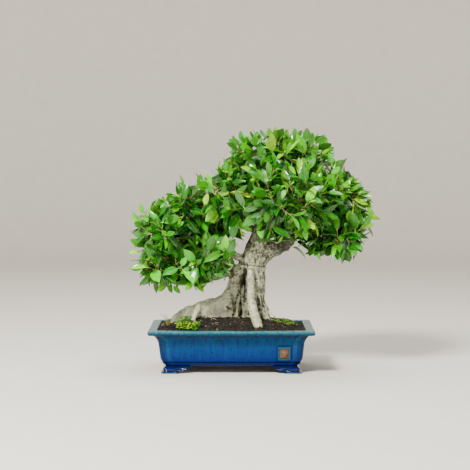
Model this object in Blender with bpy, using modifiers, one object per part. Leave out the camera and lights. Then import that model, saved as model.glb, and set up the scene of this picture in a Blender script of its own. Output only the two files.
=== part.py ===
"""Ficus bonsai on a surface root, in a glazed rectangular pot on four cloud feet.

The pot stands on z = 0. It is modelled about its own centre line, with the front at -Y, and the
root empty then carries the whole object so that the middle of its box is over the origin.
"""

import math

import bmesh
import bpy
from mathutils import Matrix, Vector, noise

# ---------------------------------------------------------------- sizes, in metres

GAP = 0.0003  # left between pieces that touch
LEAF_GAP = 0.0008  # left between the leaf pads and the wood
WELD = 0.00002  # points closer than this are one

POT_WIDTH = 0.310
POT_DEPTH = 0.200
POT_HEIGHT = 0.082
FOOT_HEIGHT = 0.014
WALL = 0.007
FLOOR = 0.008
RIM_THICKNESS = 0.007
RIM_WIDTH = 0.017
RIM_EDGE_ROUND = 0.0022
RIM_CORNER = 0.006
WALL_INSET = 0.0255  # how far the wall's foot stands in from the rim's edge
WALL_SLOPE = 0.007  # how much the wall leans out over its height
BASE_CURVE = 0.010  # how far the wall curls in at its foot
LIP_COVE = 0.0082  # how far the wall curls out under the rim
PLINTH_HEIGHT = 0.007
PLINTH_PROUD = 0.0012

FOOT_LENGTH = 0.054  # along the pot's front, at the top of the foot
FOOT_DEPTH = 0.046  # along the pot's side, at the top of the foot
FOOT_THICKNESS = 0.019
FOOT_BULGE = 0.007  # how far a foot stands out beyond the wall's foot
FOOT_TAPER = 0.018  # how much shorter a foot is at the ground

SEAL_WIDTH = 0.026
SEAL_HEIGHT = 0.028
SEAL_FRAME = 0.0032
SEAL_PROUD = 0.0014
SEAL_SINK = 0.0010
SEAL_SIDE = 0.098  # from the pot's middle
SEAL_RISE = 0.038  # the seal's centre above the ground

DRAIN_SPACING = 0.130
DRAIN_RADIUS = 0.011
SCREEN_CELLS = 4
SCREEN_HOLE = 0.0075
SCREEN_BAR = 0.002
SCREEN_THICKNESS = 0.0012
CLIP_WIRE = 0.0015
CLIP_TURN_OUT = 0.011

SOIL_BELOW_RIM = 0.004
SOIL_MOUND = 0.018

ROOT_SETBACK = 0.014  # from the left and front roots' ends to the pot's inner wall
BACK_ROOT_SETBACK = 0.021  # the same, for the root that runs back
TRUNK_X = 0.045  # the main trunk's foot, from the pot's middle
TRUNK_Y = 0.020
BARK_VOXEL = 0.0026
BARK_KEEP = 0.07  # share of the fine bark faces that is kept

PEBBLE_SIZE = 0.006

# ---------------------------------------------------------------- values that follow

WALL_FOOT = FOOT_HEIGHT
WALL_TOP = POT_HEIGHT - RIM_THICKNESS
FLOOR_TOP = FOOT_HEIGHT + FLOOR
SOIL_EDGE = POT_HEIGHT - SOIL_BELOW_RIM
SOIL_CROWN = SOIL_EDGE + SOIL_MOUND
SCREEN_SIZE = SCREEN_CELLS * SCREEN_HOLE + (SCREEN_CELLS + 1) * SCREEN_BAR
SCREEN_PITCH = SCREEN_HOLE + SCREEN_BAR
CLIP_TOP = FLOOR_TOP + GAP + SCREEN_THICKNESS + GAP + CLIP_WIRE / 2

# ---------------------------------------------------------------- scene and helpers

for old in list(bpy.data.objects):
    bpy.data.objects.remove(old, do_unlink=True)

parts = bpy.data.collections.new("ficus_bonsai")
cutters = bpy.data.collections.new("cutters")
bpy.context.scene.collection.children.link(parts)
bpy.context.scene.collection.children.link(cutters)


def finish(name, colour, roughness, metallic=0.0):
    """Make one Principled material."""
    material = bpy.data.materials.new(name)
    material.use_nodes = True
    shader = material.node_tree.nodes["Principled BSDF"]
    shader.inputs["Base Color"].default_value = (*colour, 1.0)
    shader.inputs["Roughness"].default_value = roughness
    shader.inputs["Metallic"].default_value = metallic
    return material


def add_part(name, mesh, material):
    """Put a mesh in the scene as one named piece."""
    mesh.materials.clear()
    mesh.materials.append(material)
    piece = bpy.data.objects.new(name, mesh)
    parts.objects.link(piece)
    return piece


def add_cutter(name, mesh):
    """Put a mesh in the scene as a cutter, which is no part of the object."""
    cutter = bpy.data.objects.new(name, mesh)
    cutters.objects.link(cutter)
    cutter.hide_render = True
    cutter.display_type = "WIRE"
    return cutter


def mesh_of(bm, name):
    """Turn a bmesh into a mesh with its faces outwards."""
    bmesh.ops.recalc_face_normals(bm, faces=bm.faces)
    mesh = bpy.data.meshes.new(name)
    bm.to_mesh(mesh)
    bm.free()
    return mesh


def evaluated_mesh(piece):
    """Read a piece with its modifiers as a new mesh."""
    bpy.context.view_layer.update()
    graph = bpy.context.evaluated_depsgraph_get()
    return bpy.data.meshes.new_from_object(piece.evaluated_get(graph))


def combine(piece, other, operation="DIFFERENCE"):
    """Cut a piece by a cutter, or join the two."""
    step = piece.modifiers.new(operation.title(), "BOOLEAN")
    step.object = other
    step.operation = operation
    step.solver = "EXACT"


def keep_largest_body(mesh):
    """Drop the crumbs that a cut leaves beside the main body."""
    bm = bmesh.new()
    bm.from_mesh(mesh)
    left = set(bm.verts)
    bodies = []
    while left:
        body = [left.pop()]
        for vert in body:
            for edge in vert.link_edges:
                other = edge.other_vert(vert)
                if other in left:
                    left.remove(other)
                    body.append(other)
        bodies.append(body)
    bodies.sort(key=len)
    for body in bodies[:-1]:
        bmesh.ops.delete(bm, geom=body, context="VERTS")
    bm.to_mesh(mesh)
    bm.free()


def settle(piece):
    """Fix a piece's cuts into its mesh."""
    mesh = evaluated_mesh(piece)
    keep_largest_body(mesh)
    piece.modifiers.clear()
    piece.data = mesh


def grown(mesh, distance, name):
    """Copy a closed mesh, with every face moved outwards by a distance."""
    bm = bmesh.new()
    bm.from_mesh(mesh)
    bm.normal_update()
    moves = [vert.normal * distance * min(vert.calc_shell_factor(), 2.5) for vert in bm.verts]
    for vert, move in zip(bm.verts, moves):
        vert.co += move
    copy = bpy.data.meshes.new(name)
    bm.to_mesh(copy)
    bm.free()
    return copy


def rounded_ring(half_x, half_y, radius, z, steps=4):
    """Points round a rectangle with rounded corners, anticlockwise from +X."""
    ring = []
    for corner, (sign_x, sign_y) in enumerate(((1, 1), (-1, 1), (-1, -1), (1, -1))):
        centre_x = sign_x * (half_x - radius)
        centre_y = sign_y * (half_y - radius)
        for step in range(steps + 1):
            angle = math.pi / 2 * (corner + step / steps)
            x = centre_x + radius * math.cos(angle)
            y = centre_y + radius * math.sin(angle)
            ring.append(Vector((x, y, z)))
    return ring


def loft(rings, name):
    """Skin a closed body over rings that have the same number of points."""
    bm = bmesh.new()
    rows = [[bm.verts.new(point) for point in ring] for ring in rings]
    count = len(rows[0])
    for lower, upper in zip(rows, rows[1:]):
        for i in range(count):
            j = (i + 1) % count
            bm.faces.new((lower[i], lower[j], upper[j], upper[i]))
    bm.faces.new(rows[0])
    bm.faces.new(rows[-1])
    return mesh_of(bm, name)


def box_mesh(size, centre, name):
    """A box by its size and centre."""
    bm = bmesh.new()
    bmesh.ops.create_cube(bm, size=1.0)
    bmesh.ops.scale(bm, vec=size, verts=bm.verts)
    bmesh.ops.translate(bm, vec=centre, verts=bm.verts)
    return mesh_of(bm, name)


# ---------------------------------------------------------------- finishes

GLAZE = finish("cobalt_glaze", (0.006, 0.098, 0.275), 0.12)
PLASTIC = finish("screen_plastic", (0.02, 0.02, 0.02), 0.6)
WIRE = finish("clip_wire", (0.55, 0.55, 0.56), 0.35, 0.9)
SOIL = finish("potting_soil", (0.024, 0.015, 0.011), 0.95)
BARK = finish("ficus_bark", (0.38, 0.33, 0.25), 0.8)
LEAF = finish("ficus_leaf", (0.05, 0.27, 0.02), 0.35)
WEED = finish("weed_leaf", (0.22, 0.50, 0.04), 0.6)
MOSS = finish("moss", (0.09, 0.12, 0.03), 0.9)
GRASS = finish("grass", (0.12, 0.18, 0.05), 0.7)
STONE = finish("pebble", (0.40, 0.33, 0.22), 0.7)


# ---------------------------------------------------------------- pot


def wall_inset(z):
    """How far the outside of the wall stands in from the rim's edge, at a height."""
    share = (z - WALL_FOOT) / (WALL_TOP - WALL_FOOT)
    inset = WALL_INSET - WALL_SLOPE * share
    if share < 0.3:
        inset += BASE_CURVE * ((0.3 - share) / 0.3) ** 2
    if share > 0.7:
        inset -= LIP_COVE * ((share - 0.7) / 0.3) ** 2
    return inset


def pot_ring(inset, z):
    """A ring of the pot, so far in from the rim's edge."""
    radius = RIM_CORNER + inset / 4
    return rounded_ring(POT_WIDTH / 2 - inset, POT_DEPTH / 2 - inset, radius, z)


def cavity_inset(z):
    """How far the inside of the wall stands in from the rim's edge, at a height."""
    level = min(max(z, WALL_FOOT + PLINTH_HEIGHT), WALL_TOP)
    return max(wall_inset(level) + WALL, RIM_WIDTH)


def steps_between(low, high, count):
    """Heights spread evenly from low to high, both included."""
    return [low + (high - low) * i / count for i in range(count + 1)]


def cavity_levels():
    """The heights at which the pot's inner wall changes its lean."""
    return steps_between(FLOOR_TOP, WALL_TOP, 7)


def pot_body():
    """The body and rim as one loft, up the outside and down the inside."""
    plinth_top = WALL_FOOT + PLINTH_HEIGHT
    rings = []
    for z in (WALL_FOOT, WALL_FOOT + PLINTH_HEIGHT / 2, plinth_top - GAP):
        rings.append(pot_ring(wall_inset(z) - PLINTH_PROUD, z))
    for z in steps_between(plinth_top, WALL_TOP, 9):
        rings.append(pot_ring(wall_inset(z), z))
    for angle in steps_between(-math.pi / 2, math.pi / 2, 4):
        out = RIM_EDGE_ROUND * (1 - math.cos(angle))
        middle = POT_HEIGHT - RIM_THICKNESS / 2
        z = middle + RIM_THICKNESS / 2 * math.sin(angle)
        rings.append(pot_ring(out, z))
    rings.append(pot_ring(RIM_WIDTH - RIM_EDGE_ROUND, POT_HEIGHT))
    rings.append(pot_ring(RIM_WIDTH, POT_HEIGHT - RIM_EDGE_ROUND))
    for z in reversed(cavity_levels()):
        rings.append(pot_ring(cavity_inset(z), z))
    return loft(rings, "pot")


def foot_mesh(sign_x, sign_y, name):
    """One corner foot: a bracket with two arms, bulging out and shorter at the ground."""
    sections = (  # height, bulge, share of the taper left, thickness
        (0.0, 0.55, 1.00, 0.70),
        (0.12, 0.85, 0.86, 0.86),
        (0.35, 1.00, 0.62, 1.00),
        (0.55, 0.92, 0.70, 1.00),
        (0.80, 0.60, 0.25, 1.00),
        (1.22, -0.60, 0.00, 1.00),
    )
    rings = []
    base_inset = wall_inset(WALL_FOOT)
    for height, bulge, taper, thickness in sections:
        edge = base_inset - FOOT_BULGE * bulge
        x = POT_WIDTH / 2 - edge
        y = POT_DEPTH / 2 - edge
        outer = POT_WIDTH / 2 - base_inset + FOOT_BULGE
        inner_x = outer - FOOT_LENGTH + FOOT_TAPER * taper
        outer = POT_DEPTH / 2 - base_inset + FOOT_BULGE
        inner_y = outer - FOOT_DEPTH + FOOT_TAPER * taper
        thick = FOOT_THICKNESS * thickness
        radius = FOOT_THICKNESS * 0.4
        corner = []
        for step in range(5):
            angle = math.pi / 2 * step / 4
            corner_x = x - radius + radius * math.cos(angle)
            corner_y = y - radius + radius * math.sin(angle)
            corner.append((corner_x, corner_y))
        outline = [(x, inner_y), *corner, (inner_x, y), (inner_x, y - thick)]
        outline += [(x - thick, y - thick), (x - thick, inner_y)]
        z = FOOT_HEIGHT * height
        rings.append([Vector((sign_x * px, sign_y * py, z)) for px, py in outline])
    return loft(rings, name)


def seal_tilt():
    """The wall's lean behind the seal, and the wall's y there."""
    low = SEAL_RISE - SEAL_HEIGHT / 2
    high = SEAL_RISE + SEAL_HEIGHT / 2
    lean = math.atan2(wall_inset(low) - wall_inset(high), SEAL_HEIGHT)
    return lean, -(POT_DEPTH / 2 - wall_inset(SEAL_RISE))


def seal_solid(width, height, thickness, middle, name):
    """A rounded slab lying in the plane of the seal, so far out from the wall."""
    bm = bmesh.new()
    bmesh.ops.create_cube(bm, size=1.0)
    bmesh.ops.scale(bm, vec=(width, thickness, height), verts=bm.verts)
    upright = [e for e in bm.edges if abs(e.verts[0].co.y - e.verts[1].co.y) > thickness / 2]
    bmesh.ops.bevel(
        bm, geom=upright, offset=SEAL_FRAME, segments=3, profile=0.5, affect="EDGES"
    )
    lean, y = seal_tilt()
    bmesh.ops.translate(bm, vec=(0, middle, 0), verts=bm.verts)
    turn = Matrix.Rotation(lean, 3, "X")
    bmesh.ops.rotate(bm, cent=(0, 0, 0), matrix=turn, verts=bm.verts)
    bmesh.ops.translate(bm, vec=(SEAL_SIDE, y, SEAL_RISE), verts=bm.verts)
    return mesh_of(bm, name)


def drain_sides():
    """The x of each drain hole, with the name of its side."""
    return (("left", -DRAIN_SPACING / 2), ("right", DRAIN_SPACING / 2))


def build_pot():
    """The pot with its feet, drain holes and the window for the maker's seal."""
    pot = add_part("pot", pot_body(), GLAZE)
    for name, sign_x, sign_y in (
        ("front_left", -1, -1),
        ("front_right", 1, -1),
        ("back_left", -1, 1),
        ("back_right", 1, 1),
    ):
        foot = add_cutter(f"foot_{name}", foot_mesh(sign_x, sign_y, name))
        combine(pot, foot, "UNION")
    depth = WALL * 0.8
    middle = depth / 2 - SEAL_PROUD
    frame = seal_solid(SEAL_WIDTH, SEAL_HEIGHT, depth, middle, "seal_frame")
    combine(pot, add_cutter("seal_frame", frame), "UNION")
    width = SEAL_WIDTH - 2 * SEAL_FRAME
    height = SEAL_HEIGHT - 2 * SEAL_FRAME
    window = seal_solid(width, height, depth, SEAL_SINK - depth / 2, "seal_window")
    combine(pot, add_cutter("seal_window", window))
    for side, x in drain_sides():
        bm = bmesh.new()
        bmesh.ops.create_cone(
            bm,
            cap_ends=True,
            segments=28,
            radius1=DRAIN_RADIUS,
            radius2=DRAIN_RADIUS,
            depth=FLOOR * 3,
        )
        bmesh.ops.translate(bm, vec=(x, 0, FLOOR_TOP - FLOOR / 2), verts=bm.verts)
        combine(pot, add_cutter(f"drain_{side}", mesh_of(bm, "drain")))
    settle(pot)
    return pot


# ---------------------------------------------------------------- drain screens and clips


def screen_mesh():
    """A square plastic grid, lying on z = 0."""
    lines = []
    for cell in range(SCREEN_CELLS + 1):
        start = cell * SCREEN_PITCH - SCREEN_SIZE / 2
        lines += [start, start + SCREEN_BAR]
    bm = bmesh.new()
    rows = [[bm.verts.new((x, y, 0)) for x in lines] for y in lines]
    for j in range(len(lines) - 1):
        for i in range(len(lines) - 1):
            if i % 2 and j % 2:
                continue
            bm.faces.new((rows[j][i], rows[j][i + 1], rows[j + 1][i + 1], rows[j + 1][i]))
    return mesh_of(bm, "drain_screen")


def build_screens():
    """A screen over each drain hole."""
    for side, x in drain_sides():
        screen = add_part(f"drain_screen_{side}", screen_mesh(), PLASTIC)
        screen.location = (x, 0, FLOOR_TOP + GAP)
        solid = screen.modifiers.new("Thickness", "SOLIDIFY")
        solid.thickness = SCREEN_THICKNESS
        solid.offset = 1.0
        solid.use_even_offset = True


def build_clips():
    """A bent wire through each screen and drain hole, turned out under the floor."""
    low = WALL_FOOT - GAP - CLIP_WIRE / 2
    leg = SCREEN_PITCH / 2
    bend = CLIP_WIRE
    side_points = [(leg + CLIP_TURN_OUT, low)]
    for centre, start, turn in (((leg + bend, low + bend), -90, -1), ((leg - bend, CLIP_TOP - bend), 0, 1)):
        for step in range(4):
            angle = math.radians(start + turn * 30 * step)
            point_x = centre[0] + bend * math.cos(angle)
            point_z = centre[1] + bend * math.sin(angle)
            side_points.append((point_x, point_z))
    outline = side_points + [(-x, z) for x, z in reversed(side_points)]
    for side, x in drain_sides():
        curve = bpy.data.curves.new(f"clip_{side}", "CURVE")
        curve.dimensions = "3D"
        curve.bevel_depth = CLIP_WIRE / 2
        curve.bevel_resolution = 2
        curve.use_fill_caps = True
        spline = curve.splines.new("POLY")
        spline.points.add(len(outline) - 1)
        for point, (px, pz) in zip(spline.points, outline):
            point.co = (x + px, leg, pz, 1.0)
        bent = bpy.data.objects.new("bent_wire", curve)
        cutters.objects.link(bent)
        mesh = evaluated_mesh(bent)
        bpy.data.objects.remove(bent, do_unlink=True)
        bm = bmesh.new()
        bm.from_mesh(mesh)
        bmesh.ops.remove_doubles(bm, verts=bm.verts, dist=WELD)
        add_part(f"screen_clip_{side}", mesh_of(bm, "screen_clip"), WIRE)


# ---------------------------------------------------------------- tree wood


def cavity_half(z):
    """Half the width and half the depth of the pot's inside at a height."""
    inset = cavity_inset(z)
    return POT_WIDTH / 2 - inset, POT_DEPTH / 2 - inset


def root_route(start, end, stations):
    """Points from start to end: each station is a share of the way, a side step and a lift."""
    start = Vector(start)
    end = Vector(end)
    route = []
    for share, side, lift, radius in stations:
        point = start.lerp(end, share)
        point.x += side
        point.z += lift
        route.append((*point, radius))
    return route


def wood_routes():
    """Every trunk, root and limb as points with a radius, in millimetres above the soil line.

    A route's points are (x, y, z, radius) with z measured from the foot of the trunk.
    """
    half_x, half_y = cavity_half(SOIL_EDGE)
    left_end = (ROOT_SETBACK - half_x) * 1000
    front_end = (ROOT_SETBACK - half_y) * 1000
    back_end = (half_y - BACK_ROOT_SETBACK) * 1000
    x = TRUNK_X * 1000
    y = TRUNK_Y * 1000
    trunk = [
        (x + 0, y, -32, 17),
        (x + 0, y, -14, 25),
        (x - 1, y, 0, 26),
        (x - 3, y, 14, 22.5),
        (x - 4, y, 34, 20.6),
        (x + 0, y, 56, 19.4),
        (x + 1, y, 72, 20.2),
        (x - 1, y, 88, 22),
        (x - 1, y, 102, 24.5),
        (x + 2, y, 116, 26),
        (x + 6, y, 136, 23),
        (x + 11, y - 2, 156, 19),
        (x + 17, y - 4, 180, 15.5),
        (x + 27, y - 6, 206, 13.5),
        (x + 39, y - 10, 236, 11),
        (x + 47, y - 8, 270, 8.5),
        (x + 53, y - 6, 304, 5.8),
        (x + 57, y - 8, 334, 3.4),
    ]
    left_trunk = [
        (x - 6, y, 106, 15),
        (x - 24, y - 2, 94, 14.5),
        (x - 36, y - 3, 84, 13.5),
        (x - 40, y - 3, 68, 11.2),
        (x - 41, y - 3, 54, 13.6),
        (x - 48, y - 4, 38, 18.5),
        (x - 56, y - 5, 24, 21),
    ]
    big_root = root_route(
        (x - 56, y - 5, 24),
        (left_end, y - 6, -16),
        (
            (0.00, 0, 0, 21),
            (0.20, 0, 2, 20),
            (0.42, 0, 5, 18),
            (0.62, 0, 7, 15.8),
            (0.80, 0, 8.5, 13),
            (0.91, 0, 6, 11),
            (1.00, 0, -6, 7.5),
        ),
    )
    left_foot = [(x - 46, y - 2, 30, 15), (x - 38, y, 8, 15.5), (x - 36, y + 1, -24, 11)]
    web = [
        (x - 20, y + 4, 47, 9.5),
        (x - 22, y + 5, 36, 12),
        (x - 23, y + 5, 12, 13.5),
        (x - 20, y + 4, -20, 14),
    ]
    right_foot = [(x + 2, y - 2, 30, 13), (x + 16, y - 6, 4, 11), (x + 28, y - 9, -18, 8)]
    back_foot = root_route(
        (x - 6, y + 8, 26),
        (x - 14, back_end, -20),
        ((0.0, 0, 0, 14), (0.5, 2, -1, 12), (1.0, 0, 0, 8)),
    )
    aerial_root = root_route(
        (x - 9, y - 14, 94),
        (x + 9, front_end, -32),
        (
            (0.00, 0, 0, 6),
            (0.14, -2, 0, 7.3),
            (0.36, -6, 2, 7.6),
            (0.60, -7, 5, 8.8),
            (0.86, -2, 6, 9.6),
            (1.00, 1, 2, 8),
        ),
    )
    prop_root = [
        (x - 103, y - 16, 30, 5),
        (x - 105, y - 26, 22, 6),
        (x - 111, y - 33, 10, 5.4),
        (x - 118, y - 40, -8, 5),
        (x - 121, y - 43, -22, 4),
    ]
    right_limb = [
        (x + 6, y, 118, 20),
        (x + 34, y - 2, 132, 16.5),
        (x + 58, y - 2, 143, 15.5),
        (x + 71, y, 160, 12.5),
        (x + 85, y + 2, 184, 10),
        (x + 110, y, 204, 8),
        (x + 145, y - 5, 222, 6),
        (x + 180, y - 10, 229, 4.4),
        (x + 205, y - 12, 226, 3.2),
    ]
    right_low_limb = [
        (x + 71, y, 160, 9),
        (x + 105, y + 8, 166, 7),
        (x + 145, y + 4, 166, 5),
        (x + 175, y - 2, 158, 3.2),
    ]
    low_left_limb = [
        (x - 39, y - 4, 85, 8),
        (x - 62, y - 12, 81, 5.6),
        (x - 84, y - 18, 76, 4.8),
        (x - 107, y - 24, 84, 4.2),
        (x - 135, y - 28, 100, 3.6),
        (x - 165, y - 26, 112, 2.9),
    ]
    left_limb = [
        (x - 12, y, 106, 11),
        (x - 33, y - 4, 116, 8),
        (x - 53, y - 10, 128, 6.6),
        (x - 80, y - 16, 140, 6),
        (x - 110, y - 20, 150, 5),
        (x - 140, y - 16, 162, 4),
        (x - 170, y - 14, 166, 3),
    ]
    upper_left_limb = [
        (x + 15, y - 2, 172, 10),
        (x - 15, y - 18, 204, 7.2),
        (x - 50, y - 28, 222, 5.6),
        (x - 85, y - 28, 234, 4.4),
        (x - 118, y - 22, 236, 3),
    ]
    back_limb = [
        (x + 20, y + 2, 186, 9.5),
        (x + 16, y + 40, 212, 7.2),
        (x + 6, y + 74, 234, 5.2),
        (x + 0, y + 98, 240, 3.2),
    ]
    left_back_limb = [
        (x + 13, y + 2, 162, 8.5),
        (x - 30, y + 28, 176, 6.4),
        (x - 75, y + 46, 176, 4.8),
        (x - 112, y + 52, 170, 3),
    ]
    front_limb = [
        (x + 16, y - 4, 170, 9.5),
        (x + 32, y - 44, 202, 7.2),
        (x + 48, y - 80, 222, 5.2),
        (x + 52, y - 106, 228, 3.2),
    ]
    upper_right_limb = [
        (x + 42, y - 8, 250, 8),
        (x + 80, y - 20, 274, 6),
        (x + 118, y - 24, 290, 4.2),
        (x + 142, y - 24, 296, 3),
    ]
    top_left_limb = [
        (x + 38, y - 8, 236, 8),
        (x + 8, y - 4, 270, 5.4),
        (x - 18, y + 0, 292, 3.4),
    ]
    return {
        "trunk": trunk,
        "left_trunk": left_trunk,
        "big_root": big_root,
        "left_foot": left_foot,
        "web": web,
        "right_foot": right_foot,
        "back_foot": back_foot,
        "aerial_root": aerial_root,
        "prop_root": prop_root,
        "right_limb": right_limb,
        "right_low_limb": right_low_limb,
        "low_left_limb": low_left_limb,
        "left_limb": left_limb,
        "upper_left_limb": upper_left_limb,
        "back_limb": back_limb,
        "left_back_limb": left_back_limb,
        "front_limb": front_limb,
        "upper_right_limb": upper_right_limb,
        "top_left_limb": top_left_limb,
    }


def tapered_tube(name, route):
    """One limb as a round tube that follows its route and tapers along it."""
    curve = bpy.data.curves.new(name, "CURVE")
    curve.dimensions = "3D"
    curve.bevel_depth = 0.001
    curve.bevel_resolution = 4
    curve.resolution_u = 5
    curve.use_fill_caps = True
    spline = curve.splines.new("BEZIER")
    spline.bezier_points.add(len(route) - 1)
    foot = SOIL_CROWN
    for point, (x, y, z, radius) in zip(spline.bezier_points, route):
        point.co = (x / 1000, y / 1000, foot + z / 1000)
        point.radius = radius
        point.handle_left_type = "AUTO"
        point.handle_right_type = "AUTO"
    tube = bpy.data.objects.new(name, curve)
    cutters.objects.link(tube)
    mesh = evaluated_mesh(tube)
    bpy.data.objects.remove(tube, do_unlink=True)
    return mesh


def build_wood():
    """The tree's wood as one skin over all of its tubes."""
    bm = bmesh.new()
    for name, route in wood_routes().items():
        bm.from_mesh(tapered_tube(name, route))
    bmesh.ops.remove_doubles(bm, verts=bm.verts, dist=WELD)
    wood = add_part("trunk", mesh_of(bm, "trunk"), BARK)
    skin = wood.modifiers.new("Skin", "REMESH")
    skin.mode = "VOXEL"
    skin.voxel_size = BARK_VOXEL
    ease = wood.modifiers.new("Ease", "SMOOTH")
    ease.factor = 0.5
    ease.iterations = 4
    fewer = wood.modifiers.new("Fewer", "DECIMATE")
    fewer.ratio = BARK_KEEP
    settle(wood)
    return wood


# ---------------------------------------------------------------- soil and what lies on it


def soil_height(share):
    """The soil's height at a share of the way out from the middle to the wall."""
    return SOIL_EDGE + SOIL_MOUND * (1 - share**2.2)


def soil_mesh():
    """The soil before it is cut: it follows the pot's inside and is mounded on top."""
    rings = []
    for z in (FLOOR_TOP + GAP, *cavity_levels()[1:], SOIL_EDGE):
        rings.append(pot_ring(cavity_inset(z) + GAP, z))
    edge_inset = cavity_inset(SOIL_EDGE) + GAP
    half_x = POT_WIDTH / 2 - edge_inset
    half_y = POT_DEPTH / 2 - edge_inset
    corner = RIM_CORNER + edge_inset / 4
    for share in (0.95, 0.88, 0.76, 0.62, 0.46, 0.28, 0.10):
        ring = rounded_ring(half_x * share, half_y * share, corner * share, soil_height(share))
        rings.append(ring)
    return loft(rings, "soil")


def soil_level(x, y):
    """The soil's height under a point."""
    edge_inset = cavity_inset(SOIL_EDGE) + GAP
    half_x = POT_WIDTH / 2 - edge_inset
    half_y = POT_DEPTH / 2 - edge_inset
    return soil_height(min(1.0, max(abs(x) / half_x, abs(y) / half_y)))


def lump(name, centre, radii, rough=0.10, grain=1.6, detail=3):
    """A lumpy egg: rough is the height of its lumps as a share of its size."""
    bm = bmesh.new()
    bmesh.ops.create_icosphere(bm, subdivisions=detail, radius=1.0)
    seed = Vector(centre) * 40
    for vert in bm.verts:
        wave = noise.noise(vert.co * grain + seed)
        vert.co *= 1 + rough * wave
    bmesh.ops.scale(bm, vec=radii, verts=bm.verts)
    bmesh.ops.translate(bm, vec=centre, verts=bm.verts)
    return mesh_of(bm, name)


def ground_places():
    """What lies on the soil: name, x, y, radii, depth sunk and finish."""
    half_x, half_y = cavity_half(SOIL_EDGE)
    left = -half_x + 0.001
    front = -half_y + 0.001
    return (
        ("pebble_pale", -0.034, -0.022, (1.15, 0.8, 0.7), 0.35, STONE),
        ("pebble_brown", -0.024, -0.044, (1.0, 0.75, 0.6), 0.35, STONE),
        ("weed_clump", left + 0.054, front + 0.022, (3.9, 2.4, 2.6), 0.0, WEED),
        ("moss_left", left + 0.024, half_y - 0.033, (3.2, 4.0, 1.0), 0.0, MOSS),
        ("moss_right", half_x - 0.042, -0.004, (3.4, 4.2, 1.1), 0.0, MOSS),
        ("grass_tuft", left + 0.016, front + 0.068, (1.2, 1.4, 4.6), 0.0, GRASS),
    )


def build_ground(wood):
    """The soil with its pockets, and the stones, weeds and moss on it."""
    base = soil_mesh()
    soil = add_part("soil", base, SOIL)
    combine(soil, add_cutter("wood_room", grown(wood.data, GAP, "wood_room")))
    pocket = CLIP_TOP + CLIP_WIRE / 2 + GAP - FLOOR_TOP
    for side, x in drain_sides():
        size = (SCREEN_SIZE + 2 * GAP, SCREEN_SIZE + 2 * GAP, 2 * pocket)
        room = box_mesh(size, (x, 0, FLOOR_TOP), "screen_room")
        combine(soil, add_cutter(f"screen_room_{side}", room))
    soil_room = add_cutter("soil_room", grown(base, GAP, "soil_room"))
    for name, x, y, shape, sunk, material in ground_places():
        radii = [PEBBLE_SIZE * share for share in shape]
        z = soil_level(x, y) - sunk * radii[2]
        mesh = lump(name, (x, y, z), radii, rough=0.12, detail=2)
        piece = add_part(name, mesh, material)
        if sunk:
            room = add_cutter(f"{name}_room", grown(mesh, GAP, name))
            combine(soil, room)
        else:
            combine(piece, soil_room)
            combine(piece, bpy.data.objects["wood_room"])
            settle(piece)
    settle(soil)


# ---------------------------------------------------------------- leaf pads

# name, then the pad's centre from the foot of the trunk and its radii, in millimetres
LEAF_PADS = (
    ("leaves_crown_top", (48, -10, 304), (92, 80, 55)),
    ("leaves_crown_right", (160, -14, 238), (80, 90, 60)),
    ("leaves_crown_front", (64, -94, 228), (88, 54, 62)),
    ("leaves_crown_back", (52, 80, 232), (92, 56, 62)),
    ("leaves_crown_left", (-40, -20, 248), (66, 78, 50)),
    ("leaves_crown_low_right", (152, -22, 166), (74, 84, 42)),
    ("leaves_crown_heart", (62, -46, 172), (56, 40, 26)),
    ("leaves_left_top", (-126, -20, 218), (62, 66, 44)),
    ("leaves_left_outer", (-180, -14, 166), (56, 70, 52)),
    ("leaves_left_low", (-162, -28, 104), (66, 68, 44)),
    ("leaves_left_inner", (-92, -56, 114), (52, 50, 44)),
    ("leaves_left_back", (-104, 44, 160), (72, 50, 50)),
)


def near(first, second):
    """Whether two pads could touch."""
    for axis in range(3):
        apart = abs(first[1][axis] - second[1][axis])
        if apart > (first[2][axis] + second[2][axis]) * 1.15:
            return False
    return True


def build_leaf_pads(wood):
    """Each pad as a closed clump, cut to clear the wood and the pads before it."""
    foot = Vector((TRUNK_X, TRUNK_Y, SOIL_CROWN))
    limb_room = add_cutter("limb_room", grown(wood.data, LEAF_GAP, "limb_room"))
    rooms = []
    pads = []
    for pad in LEAF_PADS:
        name, offset, radii = pad
        centre = foot + Vector(offset) / 1000
        mesh = lump(name, centre, [radius / 1000 for radius in radii])
        piece = add_part(name, mesh, LEAF)
        for other, room in rooms:
            if near(pad, other):
                combine(piece, room)
        rooms.append((pad, add_cutter(f"{name}_room", grown(mesh, GAP, name))))
        pads.append(piece)
    for piece in pads:
        settle(piece)
        combine(piece, limb_room)
        settle(piece)


# ---------------------------------------------------------------- the whole object


def place_frame():
    """Hang every piece on one empty, with the middle of the object's box over the origin."""
    bpy.context.view_layer.update()
    graph = bpy.context.evaluated_depsgraph_get()
    points = []
    for piece in parts.objects:
        solid = piece.evaluated_get(graph)
        points += [piece.matrix_world @ Vector(corner) for corner in solid.bound_box]
    low = Vector([min(point[axis] for point in points) for axis in range(3)])
    high = Vector([max(point[axis] for point in points) for axis in range(3)])
    root = bpy.data.objects.new("ficus_bonsai_root", None)
    bpy.context.scene.collection.objects.link(root)
    for piece in list(parts.objects):
        piece.parent = root
    root.location = (-(low.x + high.x) / 2, -(low.y + high.y) / 2, -low.z)


build_pot()
build_screens()
build_clips()
tree_wood = build_wood()
build_ground(tree_wood)
build_leaf_pads(tree_wood)
place_frame()
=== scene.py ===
"""Looks of a ficus bonsai in a glazed pot: pot, bark, leaves, soil and what grows on it.

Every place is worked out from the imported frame, in metres. The front of the pot faces -Y.
"""

import logging
import math
from collections.abc import Sequence
from dataclasses import dataclass, field
from enum import Enum
from functools import cache

import bmesh
import bpy
import numpy as np
from mathutils import Matrix, Vector, noise


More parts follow.
